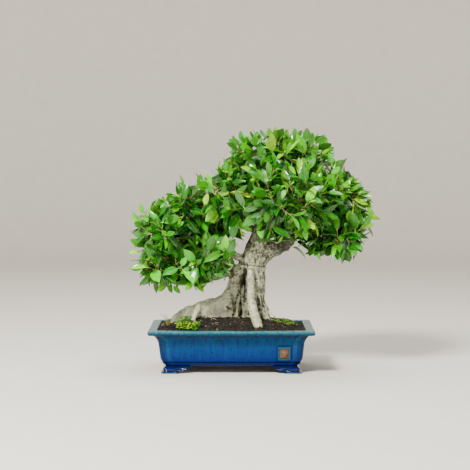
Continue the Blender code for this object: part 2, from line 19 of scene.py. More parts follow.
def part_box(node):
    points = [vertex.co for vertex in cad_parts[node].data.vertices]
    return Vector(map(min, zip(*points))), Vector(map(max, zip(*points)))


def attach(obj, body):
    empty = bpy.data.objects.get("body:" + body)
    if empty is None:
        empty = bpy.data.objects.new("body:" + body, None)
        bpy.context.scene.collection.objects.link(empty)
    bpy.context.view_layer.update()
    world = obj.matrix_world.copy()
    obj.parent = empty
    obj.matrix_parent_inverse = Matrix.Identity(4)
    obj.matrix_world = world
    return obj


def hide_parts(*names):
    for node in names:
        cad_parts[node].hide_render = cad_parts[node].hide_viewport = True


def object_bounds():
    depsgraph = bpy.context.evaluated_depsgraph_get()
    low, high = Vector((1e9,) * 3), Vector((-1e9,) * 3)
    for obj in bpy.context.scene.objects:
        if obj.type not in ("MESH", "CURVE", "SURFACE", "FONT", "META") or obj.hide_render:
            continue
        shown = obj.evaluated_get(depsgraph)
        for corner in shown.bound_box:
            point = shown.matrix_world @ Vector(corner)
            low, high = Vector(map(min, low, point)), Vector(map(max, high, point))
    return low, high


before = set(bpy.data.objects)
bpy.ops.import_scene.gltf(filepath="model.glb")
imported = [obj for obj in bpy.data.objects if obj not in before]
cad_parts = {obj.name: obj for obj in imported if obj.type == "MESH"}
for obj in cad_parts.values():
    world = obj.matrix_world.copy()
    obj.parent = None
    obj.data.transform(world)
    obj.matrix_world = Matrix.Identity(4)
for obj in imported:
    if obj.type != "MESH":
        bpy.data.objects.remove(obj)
CAD_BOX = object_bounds()
log = logging.getLogger("ficus")

Object = bpy.types.Object
Mesh = bpy.types.Mesh
Material = bpy.types.Material
BMesh = bmesh.types.BMesh
Tree = bpy.types.NodeTree
Node = bpy.types.Node
Socket = bpy.types.NodeSocket
Value = Socket | float
Point = tuple[float, float, float]
# A point in millimetres with a radius, and a line of them.
Station = tuple[float, float, float, float]
Route = list[Station]

MM = 0.001
GOLDEN_ANGLE = math.radians(137.5)
UP = Vector((0, 0, 1))


# ---- small tools


def srgb(code: str) -> tuple[float, float, float, float]:
    """Turn an sRGB hex colour into a linear one."""
    values = [int(code[i : i + 2], 16) / 255 for i in (1, 3, 5)]
    linear = [v / 12.92 if v <= 0.04045 else ((v + 0.055) / 1.055) ** 2.4 for v in values]
    return (*linear, 1.0)


def fill_sockets(tree: Tree, made: Node, inputs: dict) -> None:
    """Set a node's input sockets, or link them.

    Args:
        tree: the node's tree.
        made: the node.
        inputs: socket name or number, with a value for it or a socket to link from.
    """
    for key, value in inputs.items():
        if isinstance(value, Socket):
            tree.links.new(value, made.inputs[key])
        else:
            made.inputs[key].default_value = value


def add_node(tree: Tree, kind: str, inputs: dict | None = None, **settings: str) -> Node:
    """Add a node with its settings and links.

    Args:
        tree: a shader or geometry tree.
        kind: the node's type name.
        inputs: what fill_sockets takes.
        **settings: properties of the node itself.

    Returns:
        The new node.
    """
    made = tree.nodes.new(kind)
    for key, value in settings.items():
        setattr(made, key, value)
    fill_sockets(tree, made, inputs or {})
    return made


def box_of(name: str) -> tuple[Vector, Vector]:
    """Lowest and highest corners of a CAD node, as vectors."""
    low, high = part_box(name)
    return Vector(low), Vector(high)


def flat_way(angle: float, z: float = 0.0) -> Vector:
    """The unit way at an angle from X in plan, with a given rise."""
    return Vector((math.cos(angle), math.sin(angle), z))


def even_steps(low: float, high: float, count: int) -> list[float]:
    """Numbers spread evenly from low to high, both included."""
    return [low + (high - low) * i / count for i in range(count + 1)]


def bell(values: np.ndarray, middle: float, width: float) -> np.ndarray:
    """One at a middle value, and fading to nothing either side of it."""
    return np.exp(-(((values - middle) / width) ** 2))


def put_in_scene(made: Object) -> Object:
    """Link an object to the scene."""
    bpy.context.scene.collection.objects.link(made)
    return made


def discard(made: Object) -> None:
    """Remove an object that has done its work."""
    bpy.data.objects.remove(made, do_unlink=True)


def new_object(name: str, mesh: Mesh, material: Material | None = None) -> Object:
    """Put a mesh in the scene."""
    if material:
        mesh.materials.append(material)
    return put_in_scene(bpy.data.objects.new(name, mesh))


def set_material(piece: Object, material: Material) -> None:
    """Give a piece one material in place of what it has."""
    piece.data.materials.clear()
    piece.data.materials.append(material)


def hand_over(piece: Object, slot: str, *nodes: str) -> None:
    """Let a finished piece ride on the object's body and stand for CAD nodes.

    Args:
        piece: the piece.
        slot: the record's material slot; not used.
        *nodes: the CAD nodes that it replaces.
    """
    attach(piece, "root")
    if nodes:
        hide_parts(*nodes)
    log.info("%s: %d faces", piece.name, len(piece.data.polygons))


def apply_modifiers(piece: Object) -> Object:
    """Turn a piece and its modifiers into a plain mesh.

    Args:
        piece: a mesh or curve object.

    Returns:
        The same object, or for a curve a mesh object that takes its place.
    """
    bpy.context.view_layer.update()
    graph = bpy.context.evaluated_depsgraph_get()
    final = piece.evaluated_get(graph)
    mesh = bpy.data.meshes.new_from_object(final, preserve_all_data_layers=True, depsgraph=graph)
    if piece.type == "MESH":
        piece.modifiers.clear()
        piece.data = mesh
        return piece
    made = new_object(piece.name, mesh)
    discard(piece)
    return made


def mesh_from(bm: BMesh, name: str, smooth: bool = True) -> Mesh:
    """Turn a bmesh into a mesh with its faces outwards.

    Args:
        bm: the bmesh, which is freed.
        name: the mesh's name.
        smooth: whether it is shaded smooth.

    Returns:
        The new mesh.
    """
    bmesh.ops.recalc_face_normals(bm, faces=bm.faces)
    for face in bm.faces:
        face.smooth = smooth
    mesh = bpy.data.meshes.new(name)
    bm.to_mesh(mesh)
    bm.free()
    return mesh


def coordinates(mesh: Mesh) -> np.ndarray:
    """A mesh's points as rows of x, y and z."""
    flat = np.empty(len(mesh.vertices) * 3)
    mesh.vertices.foreach_get("co", flat)
    return flat.reshape(-1, 3)


def move_points(mesh: Mesh, points: np.ndarray) -> None:
    """Write a mesh's points back from rows of x, y and z."""
    mesh.vertices.foreach_set("co", points.ravel())
    mesh.update()


def point_normals(mesh: Mesh) -> np.ndarray:
    """A mesh's point normals as rows."""
    flat = np.empty(len(mesh.vertices) * 3)
    mesh.vertex_normals.foreach_get("vector", flat)
    return flat.reshape(-1, 3)


def smoothed(points: np.ndarray, edges: np.ndarray, rounds: int) -> np.ndarray:
    """Points drawn halfway towards their neighbours' middle, a number of times.

    Args:
        points: rows of x, y and z.
        edges: rows of two point numbers.
        rounds: how many times.

    Returns:
        The smoothed points.
    """
    count = len(points)
    first, second = edges[:, 0], edges[:, 1]
    shared = np.bincount(edges.ravel(), minlength=count)
    for _ in range(rounds):
        columns = []
        for axis in range(3):
            column = np.bincount(first, points[second, axis], count)
            column += np.bincount(second, points[first, axis], count)
            columns.append(column / shared)
        points = (points + np.stack(columns, axis=1)) / 2
    return points


def store_values(mesh: Mesh, name: str, values: Sequence) -> None:
    """Keep one number, or one vector, for each point of a mesh."""
    values = np.asarray(values, dtype=np.float32)
    kind, key = ("FLOAT", "value") if values.ndim == 1 else ("FLOAT_VECTOR", "vector")
    mesh.attributes.new(name, kind, "POINT").data.foreach_set(key, values.ravel())


def noise_values(points: np.ndarray, size: float | Point, seed: float = 0.0, octaves: int = 1) -> np.ndarray:
    """Smooth noise from -1 to 1 at each point.

    Args:
        points: rows of x, y and z in metres.
        size: the size of one lump in metres, the same every way or one for each axis.
        seed: where in the noise to read.
        octaves: how many finer layers are added.

    Returns:
        One number for each point.
    """
    scaled = points / np.asarray(size) + seed * 17.3
    if octaves == 1:
        return np.array([noise.noise(Vector(p)) for p in scaled])
    return np.array([noise.fractal(Vector(p), 0.8, 2.1, octaves) for p in scaled])


def ring_points(half_x: float, half_y: float, radius: float, z: float, corner: int, side: int) -> list[Vector]:
    """Points round a rectangle with rounded corners, anticlockwise.

    Args:
        half_x: half its width.
        half_y: half its depth.
        radius: its corner radius.
        z: its height.
        corner: steps in each corner.
        side: extra points along each side.

    Returns:
        The points, the same number for any size.
    """
    bends = []
    for quarter, (sign_x, sign_y) in enumerate(((1, 1), (-1, 1), (-1, -1), (1, -1))):
        middle = Vector((sign_x * (half_x - radius), sign_y * (half_y - radius), z))
        angles = [math.pi / 2 * (quarter + i / corner) for i in range(corner + 1)]
        bends.append([middle + flat_way(angle) * radius for angle in angles])
    ring = []
    for bend, after in zip(bends, bends[1:] + bends[:1]):
        ring += bend
        ring += [bend[-1].lerp(after[0], (i + 1) / (side + 1)) for i in range(side)]
    return ring


def skin(bm: BMesh, rings: Sequence[Sequence[Vector]], tip: Vector | None = None) -> None:
    """Skin a closed body over rings of the same number of points.

    Args:
        bm: where the faces go.
        rings: the rings in order.
        tip: the point that the last ring runs out to; without it that ring gets a cap.
    """
    rows = [[bm.verts.new(point) for point in ring] for ring in rings]
    end = bm.verts.new(tip) if tip else None
    count = len(rows[0])
    for lower, upper in zip(rows, rows[1:]):
        for i in range(count):
            j = (i + 1) % count
            bm.faces.new((lower[i], lower[j], upper[j], upper[i]))
    if end:
        for i in range(count):
            bm.faces.new((rows[-1][i], rows[-1][(i + 1) % count], end))
    bm.faces.new(rows[0])
    if not end:
        bm.faces.new(rows[-1])


def solid(name: str, rings: Sequence[Sequence[Vector]], material: Material | None = None) -> Object:
    """A closed body over rings of points, as an object."""
    bm = bmesh.new()
    skin(bm, rings)
    return new_object(name, mesh_from(bm, name), material)


def cut(piece: Object, other: Object, operation: str) -> None:
    """Join a shape to a piece or cut it away, and remove the shape.

    Args:
        piece: what is changed.
        other: the shape that is joined or cut away.
        operation: UNION or DIFFERENCE.
    """
    step = piece.modifiers.new("cut", "BOOLEAN")
    step.object = other
    step.operation = operation
    step.solver = "EXACT"
    apply_modifiers(piece)
    discard(other)


# ---- finishes


class Coat:
    """A material while it is made: its shader, and its colour so far."""

    def __init__(self, name: str, roughness: float, ior: float) -> None:
        """Start with an empty Principled shader.

        Args:
            name: the material's name.
            roughness: its roughness.
            ior: its index of refraction.
        """
        self.material = bpy.data.materials.new(name)
        self.material.use_nodes = True
        self.tree = self.material.node_tree
        self.colour: Socket | None = None
        self.set(Roughness=roughness, IOR=ior)

    def set(self, **values: Value | Point) -> None:
        """Set or link the shader's sockets; an underscore stands for the space in a name."""
        named = {key.replace("_", " "): value for key, value in values.items()}
        fill_sockets(self.tree, self.tree.nodes["Principled BSDF"], named)

    def place(self, stretch: Point = (1.0, 1.0, 1.0)) -> Socket:
        """Object coordinates in metres, stretched along each axis."""
        where = add_node(self.tree, "ShaderNodeTexCoord").outputs["Object"]
        return add_node(self.tree, "ShaderNodeMapping", {"Vector": where, "Scale": stretch}).outputs["Vector"]

    def parts(self, vector: Socket | None = None) -> bpy.types.bpy_prop_collection:
        """The X, Y and Z sockets of a vector, or of the place in metres."""
        return add_node(self.tree, "ShaderNodeSeparateXYZ", {"Vector": vector or self.place()}).outputs

    def grain(self, size_mm: float, detail: float = 3.0, stretch: Point = (1, 1, 1)) -> Socket:
        """Noise from 0 to 1 whose lumps have a real size."""
        inputs = {"Vector": self.place(stretch), "Scale": 1000 / size_mm, "Detail": detail}
        return add_node(self.tree, "ShaderNodeTexNoise", inputs).outputs["Fac"]

    def scaled(self, value: Value, low: float, high: float, to_low: float = 0.0, to_high: float = 1.0) -> Socket:
        """A number mapped from one range to another, clamped."""
        inputs = {"Value": value, "From Min": low, "From Max": high, "To Min": to_low, "To Max": to_high}
        return add_node(self.tree, "ShaderNodeMapRange", inputs).outputs["Result"]

    def maths(self, operation: str, first: Value, second: Value = 0.0) -> Socket:
        """One sum of two numbers, by the Math node's operation."""
        return add_node(self.tree, "ShaderNodeMath", {0: first, 1: second}, operation=operation).outputs[0]

    def stored(self, name: str) -> Socket:
        """A number that the mesh keeps for each point."""
        return add_node(self.tree, "ShaderNodeAttribute", attribute_name=name).outputs["Fac"]

    def ramp(self, value: Value, *stops: tuple[float, str]) -> Socket:
        """Colours chosen by a number.

        Args:
            value: the number.
            *stops: places from 0 to 1 with their hex colours.

        Returns:
            The colour's socket.
        """
        made = add_node(self.tree, "ShaderNodeValToRGB", {"Fac": value})
        elements = made.color_ramp.elements
        while len(elements) < len(stops):
            elements.new(0.5)
        for element, (place, code) in zip(elements, stops):
            element.position = place
            element.color = srgb(code)
        return made.outputs["Color"]

    def blend(self, share: Value, first: Value, second: Value | Station, way: str = "MIX") -> Socket:
        """Two colours or numbers mixed by a share, as colours are."""
        inputs = {0: share, 6: first, 7: second}
        return add_node(self.tree, "ShaderNodeMix", inputs, data_type="RGBA", blend_type=way).outputs[2]

    def lay(self, share: Value, over: Socket | str) -> None:
        """Lay a colour, by its hex code or socket, over the colour so far."""
        self.colour = self.blend(share, self.colour, srgb(over) if isinstance(over, str) else over)

    def tint(self, value: Socket, low: float, high: float, amount: float, code: str) -> None:
        """Lay a colour where a number lies towards the high end of a range."""
        self.lay(self.scaled(value, low, high, 0.0, amount), code)

    def bump(self, height: Socket, depth_mm: float) -> None:
        """Give the shader a bump of a real depth."""
        made = add_node(self.tree, "ShaderNodeBump", {"Height": height, "Distance": depth_mm * MM})
        self.set(Normal=made.outputs["Normal"])


@dataclass(frozen=True)
class Finish:
    """A surface: its material's name, and what every surface starts from."""

    name: str
    roughness: float = 0.5
    ior: float = 1.5

    def build(self) -> Material:
        """Make the material.

        Returns:
            The finished material.
        """
        coat = Coat(self.name, self.roughness, self.ior)
        self.paint(coat)
        coat.set(Base_Color=coat.colour)
        return coat.material

    def paint(self, coat: Coat) -> None:
        """Give the coat its colour, gloss and bump; each finish has its own."""
        raise NotImplementedError


@dataclass(frozen=True)
class CobaltGlaze(Finish):
    """Stoneware under a running cobalt glaze, fired glossy: deep where it pools and where shade is painted, teal
    where it thins and where highlights are painted.
    """

    name: str = "cobalt_glaze_on_stoneware"
    roughness: float = 0.16
    body_height: float = 0.075
    foot_top: float = 0.0145
    seal: Station = (0.0, 0.0, 0.0, 0.0)
    seal_lip: float = 0.0029
    front: float = 0.0

    def seal_lines(self, coat: Coat) -> tuple[Socket, Socket]:
        """Painted shade round the raised frame of the seal's window, where the glaze also pools, and a painted
        highlight on its inner lip, where it thins.

        Args:
            coat: the material.

        Returns:
            The sockets with the share of painted shade and of painted highlight.
        """
        middle_x, middle_z, half_x, half_z = self.seal
        parts = coat.parts()
        gaps = []
        for axis, middle, half in (("X", middle_x, half_x), ("Z", middle_z, half_z)):
            off = coat.maths("ABSOLUTE", coat.maths("SUBTRACT", parts[axis], middle))
            gaps.append(coat.maths("SUBTRACT", off, half))
        outside = coat.maths("MAXIMUM", *gaps)
        # Painted shade in a ring round the frame, where the glaze also pools.
        pool = coat.scaled(outside, 0.0002, 0.0036, 0.8, 0.0)
        pool = coat.maths("MULTIPLY", pool, coat.maths("GREATER_THAN", outside, 0.0))
        ahead = coat.maths("LESS_THAN", parts["Y"], self.front)
        # Painted highlight on the frame's inner lip, where the glaze thins.
        lip = coat.maths("ABSOLUTE", coat.maths("ADD", outside, self.seal_lip))
        lip = coat.scaled(lip, 0.0002, 0.0008, 0.55, 0.0)
        return coat.maths("MULTIPLY", pool, ahead), coat.maths("MULTIPLY", lip, ahead)

    def paint(self, coat: Coat) -> None:
        """Lay the glaze from the deep blue at the base to the lighter blue below the rim.

        Args:
            coat: the material.
        """
        height = coat.parts()["Z"]
        share = coat.scaled(height, 0.0, self.body_height)
        coat.colour = coat.ramp(
            share, (0.0, "#000844"), (0.2, "#000F54"), (0.34, "#002468"), (0.62, "#00366E"), (0.9, "#003A64")
        )
        # Runs of glaze: about 6 mm wide and 55 mm long, strongest below the rim.
        runs = coat.grain(9.0, 2.0, (1.6, 1.6, 0.16))
        upper = coat.scaled(share, 0.35, 0.95, 0.25, 1.0)
        coat.lay(coat.maths("MULTIPLY", coat.scaled(runs, 0.52, 0.78, 0.0, 0.8), upper), "#0A4C72")
        coat.lay(coat.maths("MULTIPLY", coat.scaled(runs, 0.48, 0.3, 0.0, 0.7), upper), "#001A3C")
        mottle = coat.grain(14.0, 4.0)
        coat.tint(mottle, 0.55, 0.75, 0.5, "#001C52")
        # Dark spots of 2 to 3 mm where the glaze crawled, and fine flecks of 1 mm.
        coat.tint(coat.grain(4.6, 1.0), 0.62, 0.74, 0.5, "#000A2C")
        flecks = coat.grain(1.3, 1.0)
        coat.tint(flecks, 0.66, 0.74, 0.6, "#000A28")
        coat.tint(flecks, 0.32, 0.27, 0.35, "#125C82")
        seal_shade_and_pool, seal_highlight_and_thin = self.seal_lines(coat)
        # Painted shade under the rim, in the corners, the plinth's groove, at the base and round the seal, where the
        # glaze also pools.
        coat.lay(coat.maths("MAXIMUM", coat.stored("pool"), seal_shade_and_pool), "#00081C")
        # Painted highlights on the rim's lip, beside the corners and on the seal's inner lip, over the teal of thin
        # glaze on the rim's top and the feet's lower edge.
        thin = coat.maths("MULTIPLY", coat.stored("thin"), coat.scaled(mottle, 0.3, 0.6, 0.75, 1.0))
        edge = coat.ramp(coat.grain(6.0, 3.0), (0.3, "#22626C"), (0.7, "#4E8E8E"))
        coat.lay(coat.maths("MAXIMUM", thin, seal_highlight_and_thin), edge)
        # The glaze ran down and lies thick and glassy on the feet.
        coat.set(
            Roughness=coat.scaled(coat.grain(3.0, 3.0), 0.3, 0.7, 0.08, 0.20),
            Specular_IOR_Level=0.05,
            Coat_Weight=coat.scaled(height, self.foot_top, self.foot_top - 0.002, 0.13, 0.9),
            Coat_Roughness=0.08,
        )
        coat.bump(coat.grain(2.2, 2.0), 0.05)


@dataclass(frozen=True)
class BareClay(Finish):
    """Unglazed stoneware, fired brown: dry to the eye, with fine grog."""

    name: str = "bare_fired_clay"
    roughness: float = 0.85

    def paint(self, coat: Coat) -> None:
        """Lay the clay's browns and its grog."""
        coat.colour = coat.ramp(coat.grain(3.5, 4.0), (0.3, "#3A322C"), (0.45, "#54402F"), (0.7, "#7A5C42"))
        coat.bump(coat.grain(0.6, 2.0), 0.12)


@dataclass(frozen=True)
class FicusBark(Finish):
    """Living fig bark: thin, grey over tan, with pale corky spots, painted highlights on its ridges and painted
    shade in its creases.
    """

    name: str = "living_fig_bark"
    roughness: float = 0.82

    def paint(self, coat: Coat) -> None:
        """Lay the greys, the spots, and what the wood keeps for each point.

        Args:
            coat: the material.
        """
        broad = coat.grain(22.0, 5.0, (1.0, 1.0, 0.8))
        coat.colour = coat.ramp(broad, (0.34, "#2E3020"), (0.44, "#4A4C36"), (0.55, "#6A6C52"), (0.66, "#94967A"))
        # Wrinkles of 4 by 8 mm, and mottling of 6 mm.
        fibres = coat.grain(5.0, 4.0, (1.2, 1.2, 0.6))
        mottle = coat.grain(6.5, 4.0)
        coat.tint(fibres, 0.48, 0.3, 0.58, "#4A4834")
        coat.tint(mottle, 0.53, 0.68, 0.65, "#C4C8A8")
        # Corky spots of 2 mm.
        spots = coat.grain(2.4, 2.0)
        coat.tint(spots, 0.56, 0.68, 0.6, "#D2D4B8")
        coat.tint(spots, 0.44, 0.32, 0.28, "#3E3A2A")
        algae = coat.maths("MULTIPLY", coat.stored("damp"), coat.scaled(broad, 0.35, 0.6))
        coat.lay(coat.maths("MULTIPLY", algae, 0.7), "#848A40")
        # Painted highlight on raised bark and on the big root.
        coat.lay(coat.stored("ridge"), "#CCCEB2")
        # Painted shade in creases, hollows and undersides, with the old wire's real dark mark.
        coat.lay(coat.stored("crease"), "#1C1910")
        coat.lay(coat.maths("MULTIPLY", coat.stored("pale"), coat.scaled(mottle, 0.42, 0.58)), "#E8E6CC")
        coat.lay(coat.stored("twig"), "#43321F")
        coat.bump(coat.blend(0.5, fibres, spots), 0.6)


@dataclass(frozen=True)
class Twig(Finish):
    """Young fig shoots: brown and woody below, smooth green near the tip."""

    name: str = "young_fig_twig"
    roughness: float = 0.55

    def paint(self, coat: Coat) -> None:
        """Lay green to brown by age, and paler rings.

        Args:
            coat: the material.
        """
        age = coat.stored("age")
        coat.colour = coat.ramp(age, (0.0, "#748A34"), (0.35, "#6A5A34"), (0.7, "#4C3826"), (1.0, "#5A4C3C"))
        rings = coat.grain(2.0, 2.0)
        coat.tint(rings, 0.5, 0.7, 0.4, "#8A7A56")
        coat.bump(rings, 0.2)


@dataclass(frozen=True)
class FigLeaf(Finish):
    """A fig leaf with its wax: deep green and glossy above, pale and dull below, yellow-green when young."""

    name: str = "waxy_fig_leaf"
    roughness: float = 0.34
    ior: float = 1.45
    vein_pairs: float = 9.0
    vein_sweep: float = 5.0

    def paint(self, coat: Coat) -> None:
        """Lay the blade's green by age and tone, its veins, its underside and its wax.

        Args:
            coat: the material.
        """
        parts = coat.parts(add_node(coat.tree, "ShaderNodeUVMap", uv_map="leaf").outputs["UV"])
        along = parts["X"]
        under = coat.maths("GREATER_THAN", parts["Y"], 1.5)
        across = coat.maths("SUBTRACT", parts["Y"], coat.maths("MULTIPLY", under, 2.0))
        side = coat.maths("ABSOLUTE", coat.maths("SUBTRACT", across, 0.5))
        # Old leaves run to near black: partly the dark green of old leaves, partly painted shade inside the pads.
        greens = (0.0, "#A8DC08"), (0.2, "#54BA02"), (0.42, "#1C8002"), (0.68, "#064A04"), (1.0, "#011804")
        coat.colour = coat.ramp(coat.stored("age"), *greens)
        tone = coat.scaled(coat.stored("tone"), 0.0, 1.0, 0.35, 2.0)
        shade = add_node(coat.tree, "ShaderNodeCombineColor", {0: tone, 1: tone, 2: tone}).outputs[0]
        coat.colour = coat.blend(1.0, coat.colour, shade, "MULTIPLY")
        coat.tint(coat.grain(8.0, 3.0), 0.35, 0.7, 0.3, "#0E5C08")
        # Side veins, swept towards the tip, and the midrib.
        start = coat.maths("MULTIPLY", along, self.vein_pairs)
        sweep = coat.maths("SUBTRACT", start, coat.maths("MULTIPLY", side, self.vein_sweep))
        veins = coat.scaled(coat.maths("PINGPONG", sweep, 0.5), 0.07, 0.0, 0.0, 0.16)
        coat.lay(veins, "#6CB040")
        rib = coat.scaled(side, 0.036, 0.010, 0.0, 0.45)
        coat.lay(rib, "#8CC04C")
        coat.lay(coat.maths("MULTIPLY", under, 0.45), "#4E8A30")
        coat.tint(along, 0.03, -0.02, 1.0, "#B8C96A")
        coat.set(
            Roughness=coat.scaled(under, 0.0, 1.0, 0.27, 0.6),
            Specular_IOR_Level=0.3,
            Coat_Weight=0.7,
            Coat_Roughness=0.17,
            Subsurface_Weight=0.10,
            Subsurface_Radius=(0.4, 1.0, 0.12),
            Subsurface_Scale=2.0 * MM,
        )
        coat.bump(coat.maths("SUBTRACT", 1.0, coat.maths("ADD", rib, veins)), 0.25)


@dataclass(frozen=True)
class SmallGreen(Finish):
    """Soft small leaves, moss or grass: dull, with a colour that changes from piece to piece."""

    name: str = "soft_small_green"
    roughness: float = 0.7
    young: str = "#C6C83A"
    old: str = "#4E9A24"

    def paint(self, coat: Coat) -> None:
        """Lay the green by age, with young patches of 3 mm.

        Args:
            coat: the material.
        """
        coat.colour = coat.ramp(coat.stored("age"), (0.0, self.young), (0.8, self.old))
        patch = coat.grain(3.0, 3.0)
        coat.tint(patch, 0.5, 0.75, 0.5, self.young)
        coat.set(Subsurface_Weight=0.12, Subsurface_Scale=1.0 * MM)
        coat.bump(patch, 0.15)


@dataclass(frozen=True)
class PottingMix(Finish):
    """Damp peat with bark and clay crumbs: nearly black, with red-brown and tan bits."""

    name: str = "damp_potting_mix"
    roughness: float = 0.93

    def paint(self, coat: Coat) -> None:
        """Lay the crumbs' browns by tint, with fine light and dark grain.

        Args:
            coat: the material.
        """
        browns = (0.0, "#080705"), (0.4, "#12100A"), (0.62, "#221A10"), (0.82, "#301E18"), (0.96, "#7C6E52")
        coat.colour = coat.ramp(coat.stored("tint"), *browns)
        fine = coat.grain(1.6, 4.0)
        coat.tint(fine, 0.45, 0.75, 0.5, "#2A2418")
        coat.tint(fine, 0.45, 0.28, 0.7, "#0A0806")
        coat.bump(fine, 0.7)


@dataclass(frozen=True)
class Pebble(Finish):
    """Water-worn stone: speckled with fine mineral grain."""

    name: str = "water_worn_pebble"
    roughness: float = 0.68
    dark: str = "#8E7F66"
    light: str = "#D8CBB4"

    def paint(self, coat: Coat) -> None:
        """Lay the stone's two colours and its dark specks.

        Args:
            coat: the material.
        """
        coat.colour = coat.ramp(coat.grain(5.0, 4.0), (0.3, self.dark), (0.65, self.light))
        specks = coat.grain(0.8, 1.0)
        coat.tint(specks, 0.6, 0.68, 0.6, "#5A5044")
        coat.bump(specks, 0.15)


@dataclass(frozen=True)
class PlainMaterial(Finish):
    """Moulded plastic, drawn wire or studio paper: one colour, broken up by a fine grain."""

    name: str = "plain"
    colour: str = "#808080"
    second: str = "#707070"
    metallic: float = 0.0
    grain_mm: float = 1.0
    depth_mm: float = 0.02

    def paint(self, coat: Coat) -> None:
        """Lay the two close colours by the grain.

        Args:
            coat: the material.
        """
        fine = coat.grain(self.grain_mm, 3.0)
        coat.colour = coat.ramp(fine, (0.3, self.second), (0.7, self.colour))
        coat.set(Metallic=self.metallic)
        coat.bump(fine, self.depth_mm)


# ---- geometry node trees


class Trees:
    """The geometry node trees that repeat small shapes and thicken routes."""

    @staticmethod
    def start(name: str, **inputs: str) -> tuple[Tree, bpy.types.bpy_prop_collection]:
        """Start a tree that takes geometry, its own inputs and a material.

        Args:
            name: the tree's name.
            **inputs: its own inputs by name, with the kind of socket.

        Returns:
            The tree, and the sockets of its inputs.
        """
        tree = bpy.data.node_groups.new(name, "GeometryNodeTree")
        for label, kind in {"Geometry": "Geometry", **inputs, "Material": "Material"}.items():
            label = label.replace("_", " ")
            tree.interface.new_socket(label, in_out="INPUT", socket_type=f"NodeSocket{kind}")
        tree.interface.new_socket("Geometry", in_out="OUTPUT", socket_type="NodeSocketGeometry")
        return tree, add_node(tree, "NodeGroupInput").outputs

    @staticmethod
    def stored(tree: Tree, name: str, kind: str = "FLOAT") -> Socket:
        """A number or vector that the points keep."""
        made = add_node(tree, "GeometryNodeInputNamedAttribute", {"Name": name}, data_type=kind)
        return made.outputs["Attribute"]

    @staticmethod
    def end(tree: Tree, shape: Socket, material: Socket) -> Tree:
        """End a tree: make instances real and set the material.

        Args:
            tree: the tree.
            shape: the geometry so far.
            material: the material's socket.

        Returns:
            The finished tree.
        """
        real = add_node(tree, "GeometryNodeRealizeInstances", {"Geometry": shape}).outputs["Geometry"]
        dressed = add_node(tree, "GeometryNodeSetMaterial", {"Geometry": real, "Material": material})
        add_node(tree, "NodeGroupOutput", {"Geometry": dressed.outputs["Geometry"]})
        return tree

    @staticmethod
    @cache
    def scatter() -> Tree:
        """A tree that sets one of a collection's shapes on each point.

        Returns:
            A tree whose inputs are the points, the shapes, a size factor and the material.
        """
        tree, given = Trees.start("set_shapes_on_points", Shapes="Collection", Size_Factor="Float")
        picked = {"Collection": given["Shapes"], "Separate Children": True, "Reset Children": True}
        shapes = add_node(tree, "GeometryNodeCollectionInfo", picked).outputs["Instances"]
        turn = Trees.stored(tree, "turn", "FLOAT_VECTOR")
        factors = {0: Trees.stored(tree, "size"), 1: given["Size Factor"]}
        number = add_node(tree, "FunctionNodeFloatToInt", {0: Trees.stored(tree, "kind")})
        inputs = {
            "Points": given["Geometry"],
            "Instance": shapes,
            "Pick Instance": True,
            "Instance Index": number.outputs[0],
            "Rotation": add_node(tree, "FunctionNodeEulerToRotation", {"Euler": turn}).outputs["Rotation"],
            "Scale": add_node(tree, "ShaderNodeMath", factors, operation="MULTIPLY").outputs[0],
        }
        placed = add_node(tree, "GeometryNodeInstanceOnPoints", inputs).outputs["Instances"]
        return Trees.end(tree, placed, given["Material"])

    @staticmethod
    @cache
    def thicken() -> Tree:
        """A tree that turns lines of edges into tapered round stems.

        Returns:
            A tree whose inputs are the lines, the number of sides and the material.
        """
        tree, given = Trees.start("thicken_lines", Sides="Int")
        round_section = {"Resolution": given["Sides"], "Radius": 1.0}
        inputs = {
            "Curve": add_node(tree, "GeometryNodeMeshToCurve", {"Mesh": given["Geometry"]}).outputs["Curve"],
            "Profile Curve": add_node(tree, "GeometryNodeCurvePrimitiveCircle", round_section).outputs["Curve"],
            "Scale": Trees.stored(tree, "thickness"),
            "Fill Caps": True,
        }
        swept = add_node(tree, "GeometryNodeCurveToMesh", inputs).outputs["Mesh"]
        return Trees.end(tree, swept, given["Material"])


def run_tree(piece: Object, tree: Tree, inputs: dict) -> None:
    """Run a geometry tree on a piece and keep the result as a plain mesh.

    Args:
        piece: the points or lines.
        tree: the tree.
        inputs: the tree's inputs by name.
    """
    step = piece.modifiers.new(tree.name, "NODES")
    step.node_group = tree
    for item in tree.interface.items_tree:
        if item.in_out == "INPUT" and item.name in inputs:
            step[item.identifier] = inputs[item.name]
    apply_modifiers(piece)


